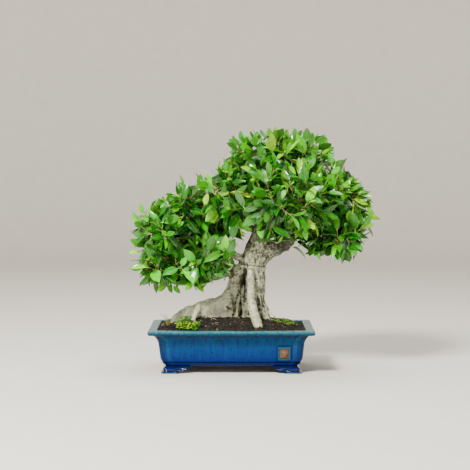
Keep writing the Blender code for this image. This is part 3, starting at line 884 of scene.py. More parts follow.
@dataclass
class Scatter:
    """A list of places at which small shapes are set."""

    places: list[Vector] = field(default_factory=list)
    rows: list[tuple] = field(default_factory=list)

    def add(
        self, place: Vector, along: Vector, facing: Vector, size: float, kind: int, age: float, tone: float
    ) -> None:
        """Add one shape.

        Args:
            place: where its root goes.
            along: the way its length points.
            facing: the way its top faces.
            size: its scale.
            kind: which shape it is.
            age: its age from 0 to 1.
            tone: its lightness from 0 to 1.
        """
        axis = along.normalized()
        top = (facing - axis * facing.dot(axis)).normalized()
        turn = Matrix((axis, top.cross(axis), top)).transposed().to_euler()
        self.places.append(place)
        self.rows.append((Vector(turn), size, kind, age, tone))

    def build(self, name: str, shapes: list[Mesh], material: Material) -> Object:
        """Make one mesh of all the shapes.

        Args:
            name: the object's name.
            shapes: the shapes to choose from.
            material: their material.

        Returns:
            The finished object.
        """
        mesh = bpy.data.meshes.new(name)
        mesh.from_pydata(self.places, [], [])
        for label, values in zip(("turn", "size", "kind", "age", "tone"), zip(*self.rows)):
            store_values(mesh, label, values)
        piece = new_object(name, mesh)
        shelf = bpy.data.collections.new(f"{name}_shapes")
        bpy.context.scene.collection.children.link(shelf)
        models = [bpy.data.objects.new(f"shape_{i:02d}", shape) for i, shape in enumerate(shapes)]
        for model in models:
            shelf.objects.link(model)
        run_tree(piece, Trees.scatter(), {"Shapes": shelf, "Size Factor": 1.0, "Material": material})
        for model in models:
            discard(model)
        bpy.data.collections.remove(shelf)
        for spare in ("turn", "size", "kind"):
            layer = piece.data.attributes.get(spare)
            if layer:
                piece.data.attributes.remove(layer)
        return piece


@dataclass
class Stems:
    """Lines that become tapered round stems."""

    points: list[Vector] = field(default_factory=list)
    edges: list[tuple[int, int]] = field(default_factory=list)
    thickness: list[float] = field(default_factory=list)
    ages: list[float] = field(default_factory=list)

    def add(self, route: Sequence[Vector], radii: Sequence[float], ages: Sequence[float]) -> None:
        """Add one stem.

        Args:
            route: its points.
            radii: its radius at each point.
            ages: its age at each point, from 0 for green to 1 for woody.
        """
        first = len(self.points)
        self.points += route
        self.thickness += radii
        self.ages += ages
        self.edges += [(first + i, first + i + 1) for i in range(len(route) - 1)]

    def build(self, name: str, material: Material, sides: int = 6) -> Object:
        """Make one mesh of all the stems.

        Args:
            name: the object's name.
            material: their material.
            sides: the number of sides of each.

        Returns:
            The finished object.
        """
        mesh = bpy.data.meshes.new(name)
        mesh.from_pydata(self.points, self.edges, [])
        store_values(mesh, "thickness", self.thickness)
        store_values(mesh, "age", self.ages)
        piece = new_object(name, mesh)
        run_tree(piece, Trees.thicken(), {"Sides": sides, "Material": material})
        piece.data.shade_smooth()
        return piece


# ---- pot


@dataclass
class Pot:
    """The glazed pot: body, rim, feet, drain holes and the window for the maker's seal."""

    width: float = 0.310
    depth: float = 0.200
    foot_height: float = 0.014
    wall: float = 0.007
    floor: float = 0.008
    rim_thickness: float = 0.0084
    rim_width: float = 0.017
    rim_corner: float = 0.006
    rim_round: float = 0.0022
    rim_sag: float = 0.0003
    wall_inset: float = 0.0240
    wall_slope: float = 0.007
    base_curve: float = 0.0075
    lip_cove: float = 0.0082
    plinth_height: float = 0.007
    plinth_proud: float = 0.0012
    foot_length: float = 0.054
    foot_depth: float = 0.046
    foot_thickness: float = 0.019
    foot_bulge: float = 0.007
    foot_flare: float = 0.0078
    foot_lip: float = 0.0026
    foot_roll: float = 0.0034
    foot_tuck: float = 0.0016
    foot_lobe: float = 0.0019
    foot_taper: float = 0.029
    seal_width: float = 0.026
    seal_height: float = 0.028
    seal_frame: float = 0.0032
    seal_side: float = 0.098
    seal_rise: float = 0.038
    seal_thickness: float = 0.0056
    drain_spacing: float = 0.130
    drain_radius: float = 0.011
    unevenness: float = 0.00035

    def __post_init__(self) -> None:
        """Take the place and the height from the frame."""
        low, high = box_of("pot")
        self.centre = Vector(((low.x + high.x) / 2, (low.y + high.y) / 2, 0))
        self.height = high.z
        self.wall_top = self.height - self.rim_thickness
        self.plinth_top = self.foot_height + self.plinth_height
        self.floor_top = self.foot_height + self.floor

    def inset(self, z: float) -> float:
        """How far the wall's outside stands in from the rim's edge.

        Args:
            z: the height.

        Returns:
            The inset in metres.
        """
        share = (z - self.foot_height) / (self.wall_top - self.foot_height)
        inset = self.wall_inset - self.wall_slope * share
        inset += self.base_curve * max(0.0, (0.3 - share) / 0.3) ** 2
        return inset - self.lip_cove * max(0.0, (share - 0.7) / 0.3) ** 2

    def ring(self, inset: float, z: float, corner: int = 8, side: int = 40) -> list[Vector]:
        """A ring of the pot's plan at an inset and a height."""
        half_x, half_y = self.width / 2 - inset, self.depth / 2 - inset
        points = ring_points(half_x, half_y, self.rim_corner + inset / 4, z, corner, side)
        return [point + self.centre for point in points]

    def cavity(self, z: float) -> float:
        """How far the wall's inside stands in from the rim's edge, at a height."""
        level = min(max(z, self.plinth_top), self.wall_top)
        return max(self.inset(level) + self.wall, self.rim_width)

    def wall_profile(self) -> list[tuple[float, float]]:
        """The outside from the base over the plinth and its groove to below the rim.

        Returns:
            Insets and heights.
        """
        plinth = self.plinth_top
        profile = []
        for z in even_steps(self.foot_height, plinth - 0.0008, 5):
            ease = 0.0010 * max(0.0, 1 - (z - self.foot_height) / 0.0015)
            profile.append((self.inset(z) - self.plinth_proud + ease, z))
        profile.append((self.inset(plinth) - self.plinth_proud * 0.4, plinth - 0.0003))
        profile.append((self.inset(plinth) + 0.0006, plinth + 0.0003))
        profile += [(self.inset(z), z) for z in even_steps(plinth + 0.0012, self.wall_top - 0.0004, 26)]
        return profile + [(self.inset(self.wall_top) - 0.0008, self.wall_top)]

    def rim_profile(self) -> list[tuple[float, float]]:
        """The rim's rounded outer edge, its flat top that sags a little, and its inner edge.

        Returns:
            Insets and heights.
        """
        profile = []
        half = self.rim_thickness / 2
        for angle in even_steps(-math.pi / 2, math.pi / 2, 10):
            z = self.height - half + half * math.sin(angle)
            profile.append((self.rim_round * (1 - math.cos(angle)), z))
        for share in (0.25, 0.5, 0.75):
            inset = self.rim_round + (self.rim_width - 2 * self.rim_round) * share
            profile.append((inset, self.height - self.rim_sag * math.sin(math.pi * share)))
        for angle in even_steps(0, math.pi / 2, 4):
            inset = self.rim_width - self.rim_round * (1 - math.sin(angle))
            profile.append((inset, self.height - self.rim_round * (1 - math.cos(angle))))
        return profile

    def body(self) -> Object:
        """The body and rim as one skin, up the outside and down the inside."""
        inside = [(self.cavity(z), z) for z in reversed(even_steps(self.floor_top, self.wall_top, 12))]
        return solid("pot_body", [self.ring(*at) for at in self.wall_profile() + self.rim_profile() + inside])

    def foot_outline(self, share: float) -> list[tuple[float, float]]:
        """A corner foot's section in plan, from the end on the short side to the end on the long side.

        Args:
            share: its height as a share of the foot's.

        Returns:
            The points from the pot's middle, for the right back foot.
        """
        flare = self.foot_flare * max(0.0, 1 - share) ** 1.7 + self.foot_lip * bell(share, 0.15, 0.10)
        flare += self.foot_roll * bell(share, 0.64, 0.19)
        flare -= self.foot_tuck * bell(share, 0, 0.05) + 0.010 * max(0.0, share - 0.93)
        taper = self.foot_taper * max(0.0, 1 - share / 0.92) ** 1.25
        base = self.inset(self.foot_height)
        x = self.width / 2 - base + flare
        y = self.depth / 2 - base + flare
        inner_x = self.width / 2 - base + self.foot_bulge - self.foot_length + taper
        inner_y = self.depth / 2 - base + self.foot_bulge - self.foot_depth + taper * 0.8
        thick = self.foot_thickness * (0.72 + 0.28 * min(1.0, share * 4))
        radius = self.foot_thickness * 0.42
        wave = self.foot_lobe * math.sin(math.pi * min(1.0, share / 0.9))
        outline = []
        for t in even_steps(0, 1, 16):
            out = x - wave * (1 - math.cos(math.tau * t * 1.5)) * (1 - t)
            outline.append((out, inner_y + (y - radius - inner_y) * t))
        for angle in even_steps(0, math.pi / 2, 8)[1:]:
            outline.append((x - radius + radius * math.cos(angle), y - radius + radius * math.sin(angle)))
        for t in even_steps(0, 1, 16)[1:]:
            out = y - wave * (1 - math.cos(math.tau * (1 - t) * 1.5)) * t
            outline.append((x - radius + (inner_x - x + radius) * t, out))
        return outline + [(inner_x, y - thick), (x - thick, y - thick), (x - thick, inner_y)]

    def foot(self, sign_x: int, sign_y: int) -> Object:
        """One cloud foot: a corner bracket that flares to a rolled lip, with ends that sweep up.

        Args:
            sign_x: -1 for left, 1 for right.
            sign_y: -1 for front, 1 for back.

        Returns:
            The foot as an object.
        """
        rings = []
        for share in even_steps(0, 1.2, 24):
            z = self.foot_height * share
            outline = self.foot_outline(share)
            rings.append([self.centre + Vector((sign_x * x, sign_y * y, z)) for x, y in outline])
        return solid("foot", rings)

    def seal_place(self) -> Station:
        """The seal's middle across and up, and half its width and height."""
        return self.centre.x + self.seal_side, self.seal_rise, self.seal_width / 2, self.seal_height / 2

    def seal_slab(self, size: tuple[float, float], thickness: float, middle: float, rounding: float) -> Object:
        """A rounded slab lying in the wall's face at the seal.

        Args:
            size: its width and height.
            thickness: its thickness.
            middle: how far its middle lies behind the wall's face.
            rounding: its corner radius.

        Returns:
            The slab as an object.
        """
        low = self.inset(self.seal_rise - self.seal_height / 2)
        high = self.inset(self.seal_rise + self.seal_height / 2)
        lean = math.atan2(low - high, self.seal_height)
        face = self.centre.y - (self.depth / 2 - self.inset(self.seal_rise))
        soft = min(rounding * 0.4, 0.0007)
        rings = []
        for shrink, depth, back in ((soft, -0.5, 0.0), (soft * 0.3, -0.5, soft), (0.0, -0.5, soft), (0.0, 0.5, 0.0)):
            outer = ring_points(size[0] / 2 - shrink, size[1] / 2 - shrink, rounding, 0, 6, 4)
            rings.append([Vector((p.x, depth * thickness + back, p.y)) for p in outer])
        slab = solid("slab", rings)
        place = Matrix.Translation((self.centre.x + self.seal_side, face, self.seal_rise))
        slab.data.transform(place @ Matrix.Rotation(lean, 4, "X") @ Matrix.Translation((0, middle, 0)))
        return slab

    def drain(self, side: int) -> Object:
        """A cutter for one drain hole.

        Args:
            side: -1 for left, 1 for right.

        Returns:
            The cutter.
        """
        bm = bmesh.new()
        size = {"radius1": self.drain_radius, "radius2": self.drain_radius, "depth": self.floor * 3}
        bmesh.ops.create_cone(bm, cap_ends=True, segments=48, **size)
        place = self.centre + Vector((side * self.drain_spacing / 2, 0, self.floor_top - self.floor / 2))
        bmesh.ops.translate(bm, vec=place, verts=bm.verts)
        return new_object("drain", mesh_from(bm, "drain"))

    def dress(self, pot: Object) -> None:
        """Store where the glaze thins and pools, with painted highlights and painted shade, and make the body
        slightly uneven.

        Args:
            pot: the pot's object.
        """
        mesh = pot.data
        points = coordinates(mesh)
        local = points - np.array(self.centre)
        z = local[:, 2]
        edge_x = self.width / 2 - np.abs(local[:, 0])
        edge_y = self.depth / 2 - np.abs(local[:, 1])
        edge = np.minimum(edge_x, edge_y)
        from_corner = np.abs(edge_x - edge_y)
        near_edge = edge < self.rim_width + 0.001
        outer = edge < 0.004
        on_rim = (z > self.wall_top - 0.0006) & near_edge
        flat_top = (z > self.height - 0.0012) & near_edge
        foot = z < self.foot_height
        wall = (~on_rim) & (~foot)
        corner = wall * (edge < 0.042)
        # Thin glaze on the rim's top and along the feet's lower edge, with a painted highlight there too; painted
        # highlights on the rim's lip and beside the body's corners.
        thin = on_rim * 0.12 + flat_top * 0.55 + bell(z, self.height - 0.0010, 0.0024) * outer * 0.75
        thin += foot * bell(z, 0.0010, 0.0012) * 0.85
        thin += corner * bell(from_corner, 0.016, 0.0022) * 0.16
        # Painted shade under the rim, in the plinth's groove, at the base and on the rim's underside, where the
        # glaze also pools; a painted dark reflection on the corners.
        pool = wall * bell(z, self.wall_top, 0.0045) * 0.85 + corner * bell(from_corner, 0, 0.0095) * 0.5
        pool += wall * bell(z, self.plinth_top, 0.0009) * 0.75
        pool += wall * bell(z, self.foot_height, 0.0015) * 0.6
        pool += on_rim * outer * bell(z, self.wall_top + 0.0008, 0.0026) * 0.75
        store_values(mesh, "thin", np.clip(thin, 0, 1))
        store_values(mesh, "pool", np.clip(pool, 0, 1))
        wave = noise_values(local, 0.045, 2.0)[:, None] * point_normals(mesh)
        free = ((z > self.foot_height * 1.4) & (edge > 0)).astype(float)[:, None]
        move_points(mesh, points + wave * self.unevenness * free)

    def build(self, glaze: Material, clay: Material) -> None:
        """Build the pot and stand it in for its CAD node.

        Args:
            glaze: the glaze.
            clay: the bare clay in the seal's window.
        """
        pot = self.body()
        for sign_x in (-1, 1):
            for sign_y in (-1, 1):
                cut(pot, self.foot(sign_x, sign_y), "UNION")
        frame_size = (self.seal_width, self.seal_height)
        cut(pot, self.seal_slab(frame_size, self.seal_thickness, 0.0014, 0.0042), "UNION")
        window = (self.seal_width - 2 * self.seal_frame, self.seal_height - 2 * self.seal_frame)
        cut(pot, self.seal_slab(window, self.seal_thickness, -0.0018, 0.0022), "DIFFERENCE")
        for side in (-1, 1):
            cut(pot, self.drain(side), "DIFFERENCE")
        pot.name = "glazed_pot"
        set_material(pot, glaze)
        pot.data.shade_smooth()
        pot.data.set_sharp_from_angle(angle=math.radians(48))
        self.dress(pot)
        hand_over(pot, "glazed_ceramic", "pot")
        self.seal(clay, window)

    def seal(self, clay: Material, window: tuple[float, float]) -> None:
        """A plain bare-clay tablet with a raised diamond, in the seal's window.

        Args:
            clay: its material.
            window: the window's width and height.
        """
        size = (window[0] - 0.0002, window[1] - 0.0002)
        tablet = self.seal_slab(size, 0.0010, 0.0012, 0.0021)
        diamond = self.seal_slab((0.0105, 0.0105), 0.0016, 0.0010, 0.0009)
        middle = sum((Vector(c) for c in diamond.bound_box), Vector()) / 8
        turn = Matrix.Rotation(math.radians(45), 4, "Y")
        diamond.data.transform(Matrix.Translation(middle) @ turn @ Matrix.Translation(-middle))
        cut(tablet, diamond, "UNION")
        tablet.name = "seal_tablet"
        set_material(tablet, clay)
        hand_over(tablet, "glazed_ceramic", "pot")


# ---- wood


# Trunks, roots and limbs in mm: x and y from the trunk's middle, z from its foot, and a radius. The three
# roots that end where the pot lets them have a share of the way, a side step, a lift and a radius instead.
ROUTES = {
    "trunk": (
        (0, 0, -32, 17), (0, 0, -14, 25), (-1, 0, 0, 26), (-3, 0, 14, 22.5), (-4, 0, 34, 20.6), (0, 0, 56, 19.4),
        (1, 0, 72, 20.2), (-1, 0, 88, 22), (-1, 0, 102, 24.5), (2, 0, 116, 26), (6, 0, 136, 23), (11, -2, 156, 19),
        (17, -4, 180, 15.5), (27, -6, 206, 13.5), (39, -10, 236, 11), (47, -8, 270, 8.5), (53, -6, 304, 5.8),
        (57, -8, 334, 3.4),
    ),
    "left_trunk": (
        (-6, 0, 106, 15), (-24, -2, 94, 14.5), (-36, -3, 84, 13.5), (-40, -3, 68, 11.2), (-41, -3, 54, 13.6),
        (-48, -4, 38, 18.5), (-56, -5, 24, 21),
    ),
    "big_root": (
        (0.00, 0, 0, 21), (0.20, 0, 2, 20), (0.42, 0, 5, 18), (0.62, 0, 7, 15.8), (0.73, 0, 8.5, 13.5),
        (0.82, 0, 5, 11.5), (0.91, 0, -9, 8),
    ),
    "left_foot": ((-46, -2, 30, 15), (-38, 0, 8, 15.5), (-36, 1, -24, 11)),
    "web": ((-20, 4, 47, 9.5), (-22, 5, 36, 12), (-23, 5, 12, 13.5), (-20, 4, -20, 14)),
    "right_foot": ((2, -2, 30, 13), (16, -6, 4, 11), (28, -9, -18, 8)),
    "back_foot": ((0.0, 0, 0, 14), (0.5, 2, -1, 12), (1.0, 0, 0, 8)),
    "aerial_root": (
        (0.00, 0, 0, 6), (0.14, -2, 0, 7.3), (0.36, -6, 2, 7.6), (0.60, -7, 5, 8.8), (0.86, -2, 6, 9.6),
        (1.00, 1, 2, 8),
    ),
    "prop_root": (
        (-107, -14, 26, 5), (-109, -25, 19, 6), (-114, -33, 8, 5.4), (-119, -40, -8, 5), (-121, -43, -22, 4)
    ),
    "right_limb": (
        (6, 0, 118, 20), (34, -2, 132, 16.5), (58, -2, 143, 15.5), (71, 0, 160, 12.5), (85, 2, 184, 10),
        (110, 0, 204, 8), (145, -5, 222, 6), (180, -10, 229, 4.4), (205, -12, 226, 3.2),
    ),
    "right_low_limb": ((71, 0, 160, 9), (105, 8, 166, 7), (145, 4, 166, 5), (175, -2, 158, 3.2)),
    "low_left_limb": (
        (-39, -4, 85, 8), (-62, -12, 81, 5.6), (-84, -18, 76, 4.8), (-107, -24, 84, 4.2), (-135, -28, 100, 3.6),
        (-165, -26, 112, 2.9),
    ),
    "left_limb": (
        (-12, 0, 106, 11), (-33, -4, 116, 8), (-53, -10, 128, 6.6), (-80, -16, 140, 6), (-110, -20, 150, 5),
        (-140, -16, 162, 4), (-170, -14, 166, 3),
    ),
    "upper_left_limb": (
        (15, -2, 172, 10), (-15, -18, 204, 7.2), (-50, -28, 222, 5.6), (-85, -28, 234, 4.4), (-118, -22, 236, 3)
    ),
    "back_limb": ((20, 2, 186, 9.5), (16, 40, 212, 7.2), (6, 74, 234, 5.2), (0, 98, 240, 3.2)),
    "left_back_limb": ((13, 2, 162, 8.5), (-30, 28, 176, 6.4), (-75, 46, 176, 4.8), (-112, 52, 170, 3)),
    "front_limb": ((16, -4, 170, 9.5), (32, -44, 202, 7.2), (48, -80, 222, 5.2), (52, -106, 228, 3.2)),
    "upper_right_limb": ((42, -8, 250, 8), (80, -20, 274, 6), (118, -24, 290, 4.2), (142, -24, 296, 3)),
    "top_left_limb": ((38, -8, 236, 8), (8, -4, 270, 5.4), (-18, 0, 292, 3.4)),
}
# Ridges and thin roots that run down the trunk's foot and cling to the big root, in the same measures.
ROOTLETS = (
    ((-22, -9, 62, 2.4), (-24, -13, 40, 3.2), (-21, -16, 16, 3.6), (-23, -22, -12, 4)),
    ((-16, -13, 50, 2.2), (-17, -17, 30, 3), (-14, -19, 8, 3.4), (-12, -24, -12, 3.6)),
    ((-30, -12, 46, 2.4), (-34, -18, 26, 3.6), (-36, -20, 6, 4.2), (-42, -24, -12, 4)),
    ((8, -18, 46, 2.2), (12, -19, 24, 3.4), (16, -22, 6, 4), (24, -30, -12, 4)),
    ((14, -14, 30, 2.4), (22, -16, 12, 3.6), (32, -22, -8, 4)),
    ((15, 12, 40, 3), (19, 18, 14, 5), (24, 26, -14, 5)),
    ((20, -12, 20, 1.4), (27, -20, 4, 1.8), (40, -26, -9, 1.6)),
    ((18, -16, 26, 1.3), (25, -26, 2, 1.7), (31, -36, -9, 1.6)),
    ((22, -6, 24, 1.4), (34, -10, 4, 1.8), (50, -12, -8, 1.6)),
    ((-4, 18, 30, 8), (-20, 20, 52, 10), (-19, 21, 76, 11), (-14, 16, 104, 11)),
    ((-44, -10, 3, 11), (-60, -11, 3, 13), (-78, -12, 1, 12), (-94, -11, -3, 9)),
    ((-30, 14, 40, 3), (-34, 20, 14, 5), (-38, 30, -14, 5)),
)


@dataclass
class TreeWood:
    """The tree's wood: trunks, surface roots and limbs as one grown skin."""

    pot: Pot
    trunk_x: float = 45.0
    trunk_y: float = 20.0
    root_setback: float = 14.0
    back_root_setback: float = 21.0
    wire_mark_height: float = 100.0
    voxel: float = 0.0014
    soil_crown: float = 0.096
    thin_limbs: tuple[str, ...] = (
        "low_left_limb", "left_limb", "upper_left_limb", "left_back_limb", "right_low_limb"
    )

    def __post_init__(self) -> None:
        """Work out the foot of the trunk, and the wood's routes in mm from it."""
        self.foot = self.pot.centre + Vector((0, 0, self.soil_crown))
        x, y = self.trunk_x, self.trunk_y
        inset = self.pot.cavity(self.pot.height - 0.004)
        front = self.root_setback - (self.pot.depth / 2 - inset) / MM
        back = (self.pot.depth / 2 - inset) / MM - self.back_root_setback
        left = self.root_setback - (self.pot.width / 2 - inset) / MM
        tied = {
            "big_root": ((x - 56, y - 5, 24), (left, y - 6, -16)),
            "back_foot": ((x - 6, y + 8, 26), (x - 14, back, -20)),
            "aerial_root": ((x - 9, y - 14, 94), (x + 9, front, -32)),
        }
        self.routes = {
            name: self.between(*tied[name], stations) if name in tied else self.from_trunk(stations)
            for name, stations in ROUTES.items()
        }

    def from_trunk(self, stations: Sequence[Station]) -> Route:
        """A route whose points are given from the trunk's middle."""
        return [(self.trunk_x + x, self.trunk_y + y, z, radius) for x, y, z, radius in stations]

    @staticmethod
    def between(start: Point, end: Point, stations: Sequence[Station]) -> Route:
        """Points from start to end.

        Args:
            start: the first point.
            end: the last point.
            stations: each a share of the way, a side step, a lift and a radius.

        Returns:
            The route.
        """
        route = []
        for share, side, lift, radius in stations:
            point = Vector(start).lerp(Vector(end), share)
            route.append((point.x + side, point.y, point.z + lift, radius))
        return route

    def world(self, point: Sequence[float]) -> Vector:
        """A route's point in the frame, in metres."""
        return self.foot + Vector(point[:3]) * MM

    def tube(self, route: Route) -> Mesh:
        """One limb as a tapered tube.

        Args:
            route: its points and radii.

        Returns:
            The tube's mesh.
        """
        curve = bpy.data.curves.new("limb", "CURVE")
        curve.dimensions = "3D"
        curve.bevel_depth = MM
        curve.bevel_resolution = 5
        curve.resolution_u = 8
        curve.use_fill_caps = True
        spline = curve.splines.new("BEZIER")
        spline.bezier_points.add(len(route) - 1)
        for knot, point in zip(spline.bezier_points, route):
            knot.co = self.world(point)
            knot.radius = point[3]
            knot.handle_left_type = knot.handle_right_type = "AUTO"
        made = apply_modifiers(put_in_scene(bpy.data.objects.new("limb", curve)))
        mesh = made.data
        discard(made)
        return mesh

    def base_skin(self) -> Object:
        """All of the tubes under one smooth skin.

        Returns:
            The wood, still without its bark.
        """
        bm = bmesh.new()
        for route in (*self.routes.values(), *map(self.from_trunk, ROOTLETS)):
            bm.from_mesh(self.tube(route))
        bmesh.ops.remove_doubles(bm, verts=bm.verts, dist=0.00002)
        wood = new_object("bonsai_wood", mesh_from(bm, "bonsai_wood"))
        remesh = wood.modifiers.new("skin", "REMESH")
        remesh.mode = "VOXEL"
        remesh.voxel_size = self.voxel
        ease = wood.modifiers.new("ease", "SMOOTH")
        ease.factor = 0.5
        ease.iterations = 3
        return apply_modifiers(wood)

    def distance_to(self, points: np.ndarray, name: str) -> np.ndarray:
        """How far points are from a route's line, as a share of its radius.

        Args:
            points: rows of x, y and z.
            name: the route's name.

        Returns:
            One number for each point.
        """
        nearest = np.full(len(points), np.inf)
        route = self.routes[name]
        for first, second in zip(route, route[1:]):
            a = np.array(self.world(first))
            b = np.array(self.world(second))
            along = np.clip((points - a) @ (b - a) / ((b - a) @ (b - a)), 0, 1)
            radius = (first[3] + (second[3] - first[3]) * along) * MM
            gap = np.linalg.norm(points - (a + along[:, None] * (b - a)), axis=1)
            nearest = np.minimum(nearest, gap / radius)
        return nearest

    def carve(self, wood: Object) -> None:
        """Give the skin its bark: flutes, rings, knots and pits, and the old wire's mark.

        Args:
            wood: the smooth skin.
        """
        mesh = wood.data
        points = coordinates(mesh)
        normals = point_normals(mesh)
        local = (points - np.array(self.foot)) / MM
        x, y, z = local.T
        aerial = np.clip(1.45 - self.distance_to(points, "aerial_root"), 0, 1) * (y < self.trunk_y - 14)
        prop = np.clip(1.5 - self.distance_to(points, "prop_root"), 0, 1)
        # Lumps of each size in metres, where in the noise it is read, its layers and its depth in mm.
        flutes = 1.7 * noise_values(points, (0.012, 0.012, 0.045), 1.0, 3)
        knots = 2.4 * noise_values(points, 0.017, 4.0, 3)
        fissures = 0.9 * -np.abs(noise_values(points, (0.006, 0.006, 0.020), 2.0, 2))
        wrinkles = 0.8 * -np.abs(noise_values(points, (0.020, 0.020, 0.0062), 3.0, 2))
        pits = 0.34 * noise_values(points, 0.0036, 5.0, 3)
        height = flutes + knots + fissures + wrinkles + pits
        height *= (1 - 0.6 * np.clip((aerial + prop) * 2, 0, 1)) * np.clip((250 - z) / 120, 0.25, 1)
        mark = bell(z, self.wire_mark_height + 0.12 * (self.trunk_x - x), 1.3)
        mark *= (np.abs(x - self.trunk_x) < 27) * (y < self.trunk_y + 10)
        height -= 0.9 * mark
        moved = points + normals * height[:, None] * MM
        moved[:, 2] = np.maximum(moved[:, 2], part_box("trunk")[0][2])
        move_points(mesh, moved)
        self.colour(mesh, moved, normals, local, {"aerial": aerial, "prop": prop, "mark": mark})

    def colour(
        self, mesh: Mesh, points: np.ndarray, normals: np.ndarray, local: np.ndarray, parts: dict[str, np.ndarray]
    ) -> None:
        """Store where the bark has painted highlights on ridges and the big root, painted shade in creases and
        undersides, and where it is pale, damp, or young like a twig.

        Args:
            mesh: the wood's mesh.
            points: its points.
            normals: the smooth skin's normals.
            local: the smooth skin's points in mm from the trunk's foot.
            parts: the shares of each point that belong to the aerial root, the prop root and the wire's mark.
        """
        x, y, z = local.T
        edges = np.empty(len(mesh.edges) * 2, dtype=np.int64)
        mesh.edges.foreach_get("vertices", edges)
        edges = edges.reshape(-1, 2)
        near = np.sum((smoothed(points, edges, 6) - points) * normals, axis=1) / MM
        wide = np.sum((smoothed(points, edges, 40) - points) * normals, axis=1) / MM
        on_root = np.clip((self.trunk_x - 42 - x) / 16, 0, 1)
        # Painted highlight on raised bark, and over the big root except its underside.
        ridge = np.clip(-0.9 * near, 0, 0.2) + np.clip(-0.30 * wide, 0, 0.35)
        ridge += 0.68 * on_root * np.clip(normals[:, 2] * 2 + 2, 0, 1)
        # Painted shade in the bark's hollows, less on the big root; the old wire's dark mark is real.
        crease = np.clip(0.8 * near - 0.05, 0, 0.24) + np.clip(0.55 * wide - 0.06, 0, 0.62)
        crease = crease * (1 - 0.7 * on_root) + 0.42 * parts["mark"]
        # Painted shade in the hole between the trunks, the cleft at the right limb, that limb's shaded side, and
        # undersides.
        crease += 0.9 * bell(x, 22, 6) * bell(z, 66, 13) * (y > -2)
        crease += 0.8 * bell(x, 80 - (z - 148) * 0.3, 5) * bell(z, 148, 9) * (y < self.trunk_y - 6)
        shaded = np.clip((x - 76) / 10, 0, 1) * np.clip((z - 118) / 14, 0, 1) * np.clip((245 - z) / 40, 0, 1)
        crease += 0.76 * shaded + np.clip(-normals[:, 2] - 0.2, 0, 1) * (0.4 - 0.36 * on_root)
        pale = (parts["aerial"] * 0.8 + parts["prop"] * 0.45) * (0.45 + 0.55 * np.clip(z / 24, 0, 1))
        young = np.clip((z - 165) / 60, 0, 1) * 0.45
        clear = np.clip(self.distance_to(self.world_rows(local), "trunk") * 1.6 - 2.2, 0, 1)
        for name in self.thin_limbs:
            young = np.maximum(young, 0.8 * clear * (self.distance_to(self.world_rows(local), name) < 1.5))
        root_end = np.clip((-88 - x) / 16, 0, 0.5) * (z < 40)
        store_values(mesh, "ridge", np.clip(ridge, 0, 1))
        store_values(mesh, "crease", np.clip(crease, 0, 0.95))
        store_values(mesh, "pale", np.clip(pale, 0, 0.85))
        store_values(mesh, "damp", np.clip((26 - z) / 30, 0, 1) * 0.75)
        store_values(mesh, "twig", np.maximum(young, root_end))

    def world_rows(self, local: np.ndarray) -> np.ndarray:
        """Rows of points in the frame, in metres, from rows in mm from the trunk's foot."""
        return local * MM + np.array(self.foot)

    def build(self, bark: Material) -> None:
        """Build the wood and stand it in for its CAD node.

        Args:
            bark: the bark.
        """
        wood = self.base_skin()
        set_material(wood, bark)
        wood.data.shade_smooth()
        self.carve(wood)
        hand_over(wood, "bark", "trunk")

    def anchors(self) -> list[tuple[Vector, float]]:
        """Points along the trunk and the limbs from which shoots may grow.

        Returns:
            Places with the limb's radius there, in metres.
        """
        found = []
        for name, route in self.routes.items():
            if name != "trunk" and not name.endswith("_limb"):
                continue
            for first, second in zip(route, route[1:]):
                for share in (0.0, 0.25, 0.5, 0.75):
                    point = self.world(first).lerp(self.world(second), share)
                    radius = (first[3] + (second[3] - first[3]) * share) * MM
                    if radius < 0.0115 and point.z > self.foot.z + 0.075:
                        found.append((point, radius))
        return found


# ---- leaves


# A leaf's stalk and thickness as shares of its length, and its outline: places along the blade and widths.
LEAF_STALK = 0.18
LEAF_THICKNESS = 0.012
LEAF_OUTLINE = (
    (0.0, 0.0), (0.07, 0.42), (0.20, 0.78), (0.36, 0.97), (0.52, 1.0), (0.68, 0.86), (0.83, 0.54), (0.93, 0.20),
    (1.0, 0.0),
)
# The leaves' outline from the front, in millimetres from the pot's middle on the table.
FRONT_OUTLINE = (
    (-185, 169), (-191, 203), (-185, 228), (-191, 260), (-183, 293), (-178, 306), (-149, 323), (-123, 331),
    (-107, 342), (-92, 370), (-79, 374), (-67, 357), (-54, 363), (-54, 382), (-43, 386), (-31, 393), (-18, 414),
    (1, 439), (14, 450), (33, 462), (56, 469), (77, 456), (113, 460), (143, 460), (179, 448), (200, 420),
    (214, 407), (225, 374), (242, 355), (269, 327), (265, 294), (286, 287), (263, 270), (261, 243), (248, 222),
    (231, 201), (202, 203), (172, 213), (149, 217), (134, 239), (111, 247), (77, 245), (43, 245), (24, 258),
    (5, 232), (10, 222), (3, 188), (-7, 175), (-31, 169), (-47, 156), (-75, 152), (-94, 148), (-123, 146),
    (-170, 148),
)
# The point in front of the pot from which that outline holds, in millimetres from the same place.
FRONT_EYE = (6.6, -2659.0, 390.0)
# How much further down and up the leaves of a pad grow than its clump, in millimetres.
PAD_GROWTH = {"leaves_crown_left": (24.0, 0.0)}


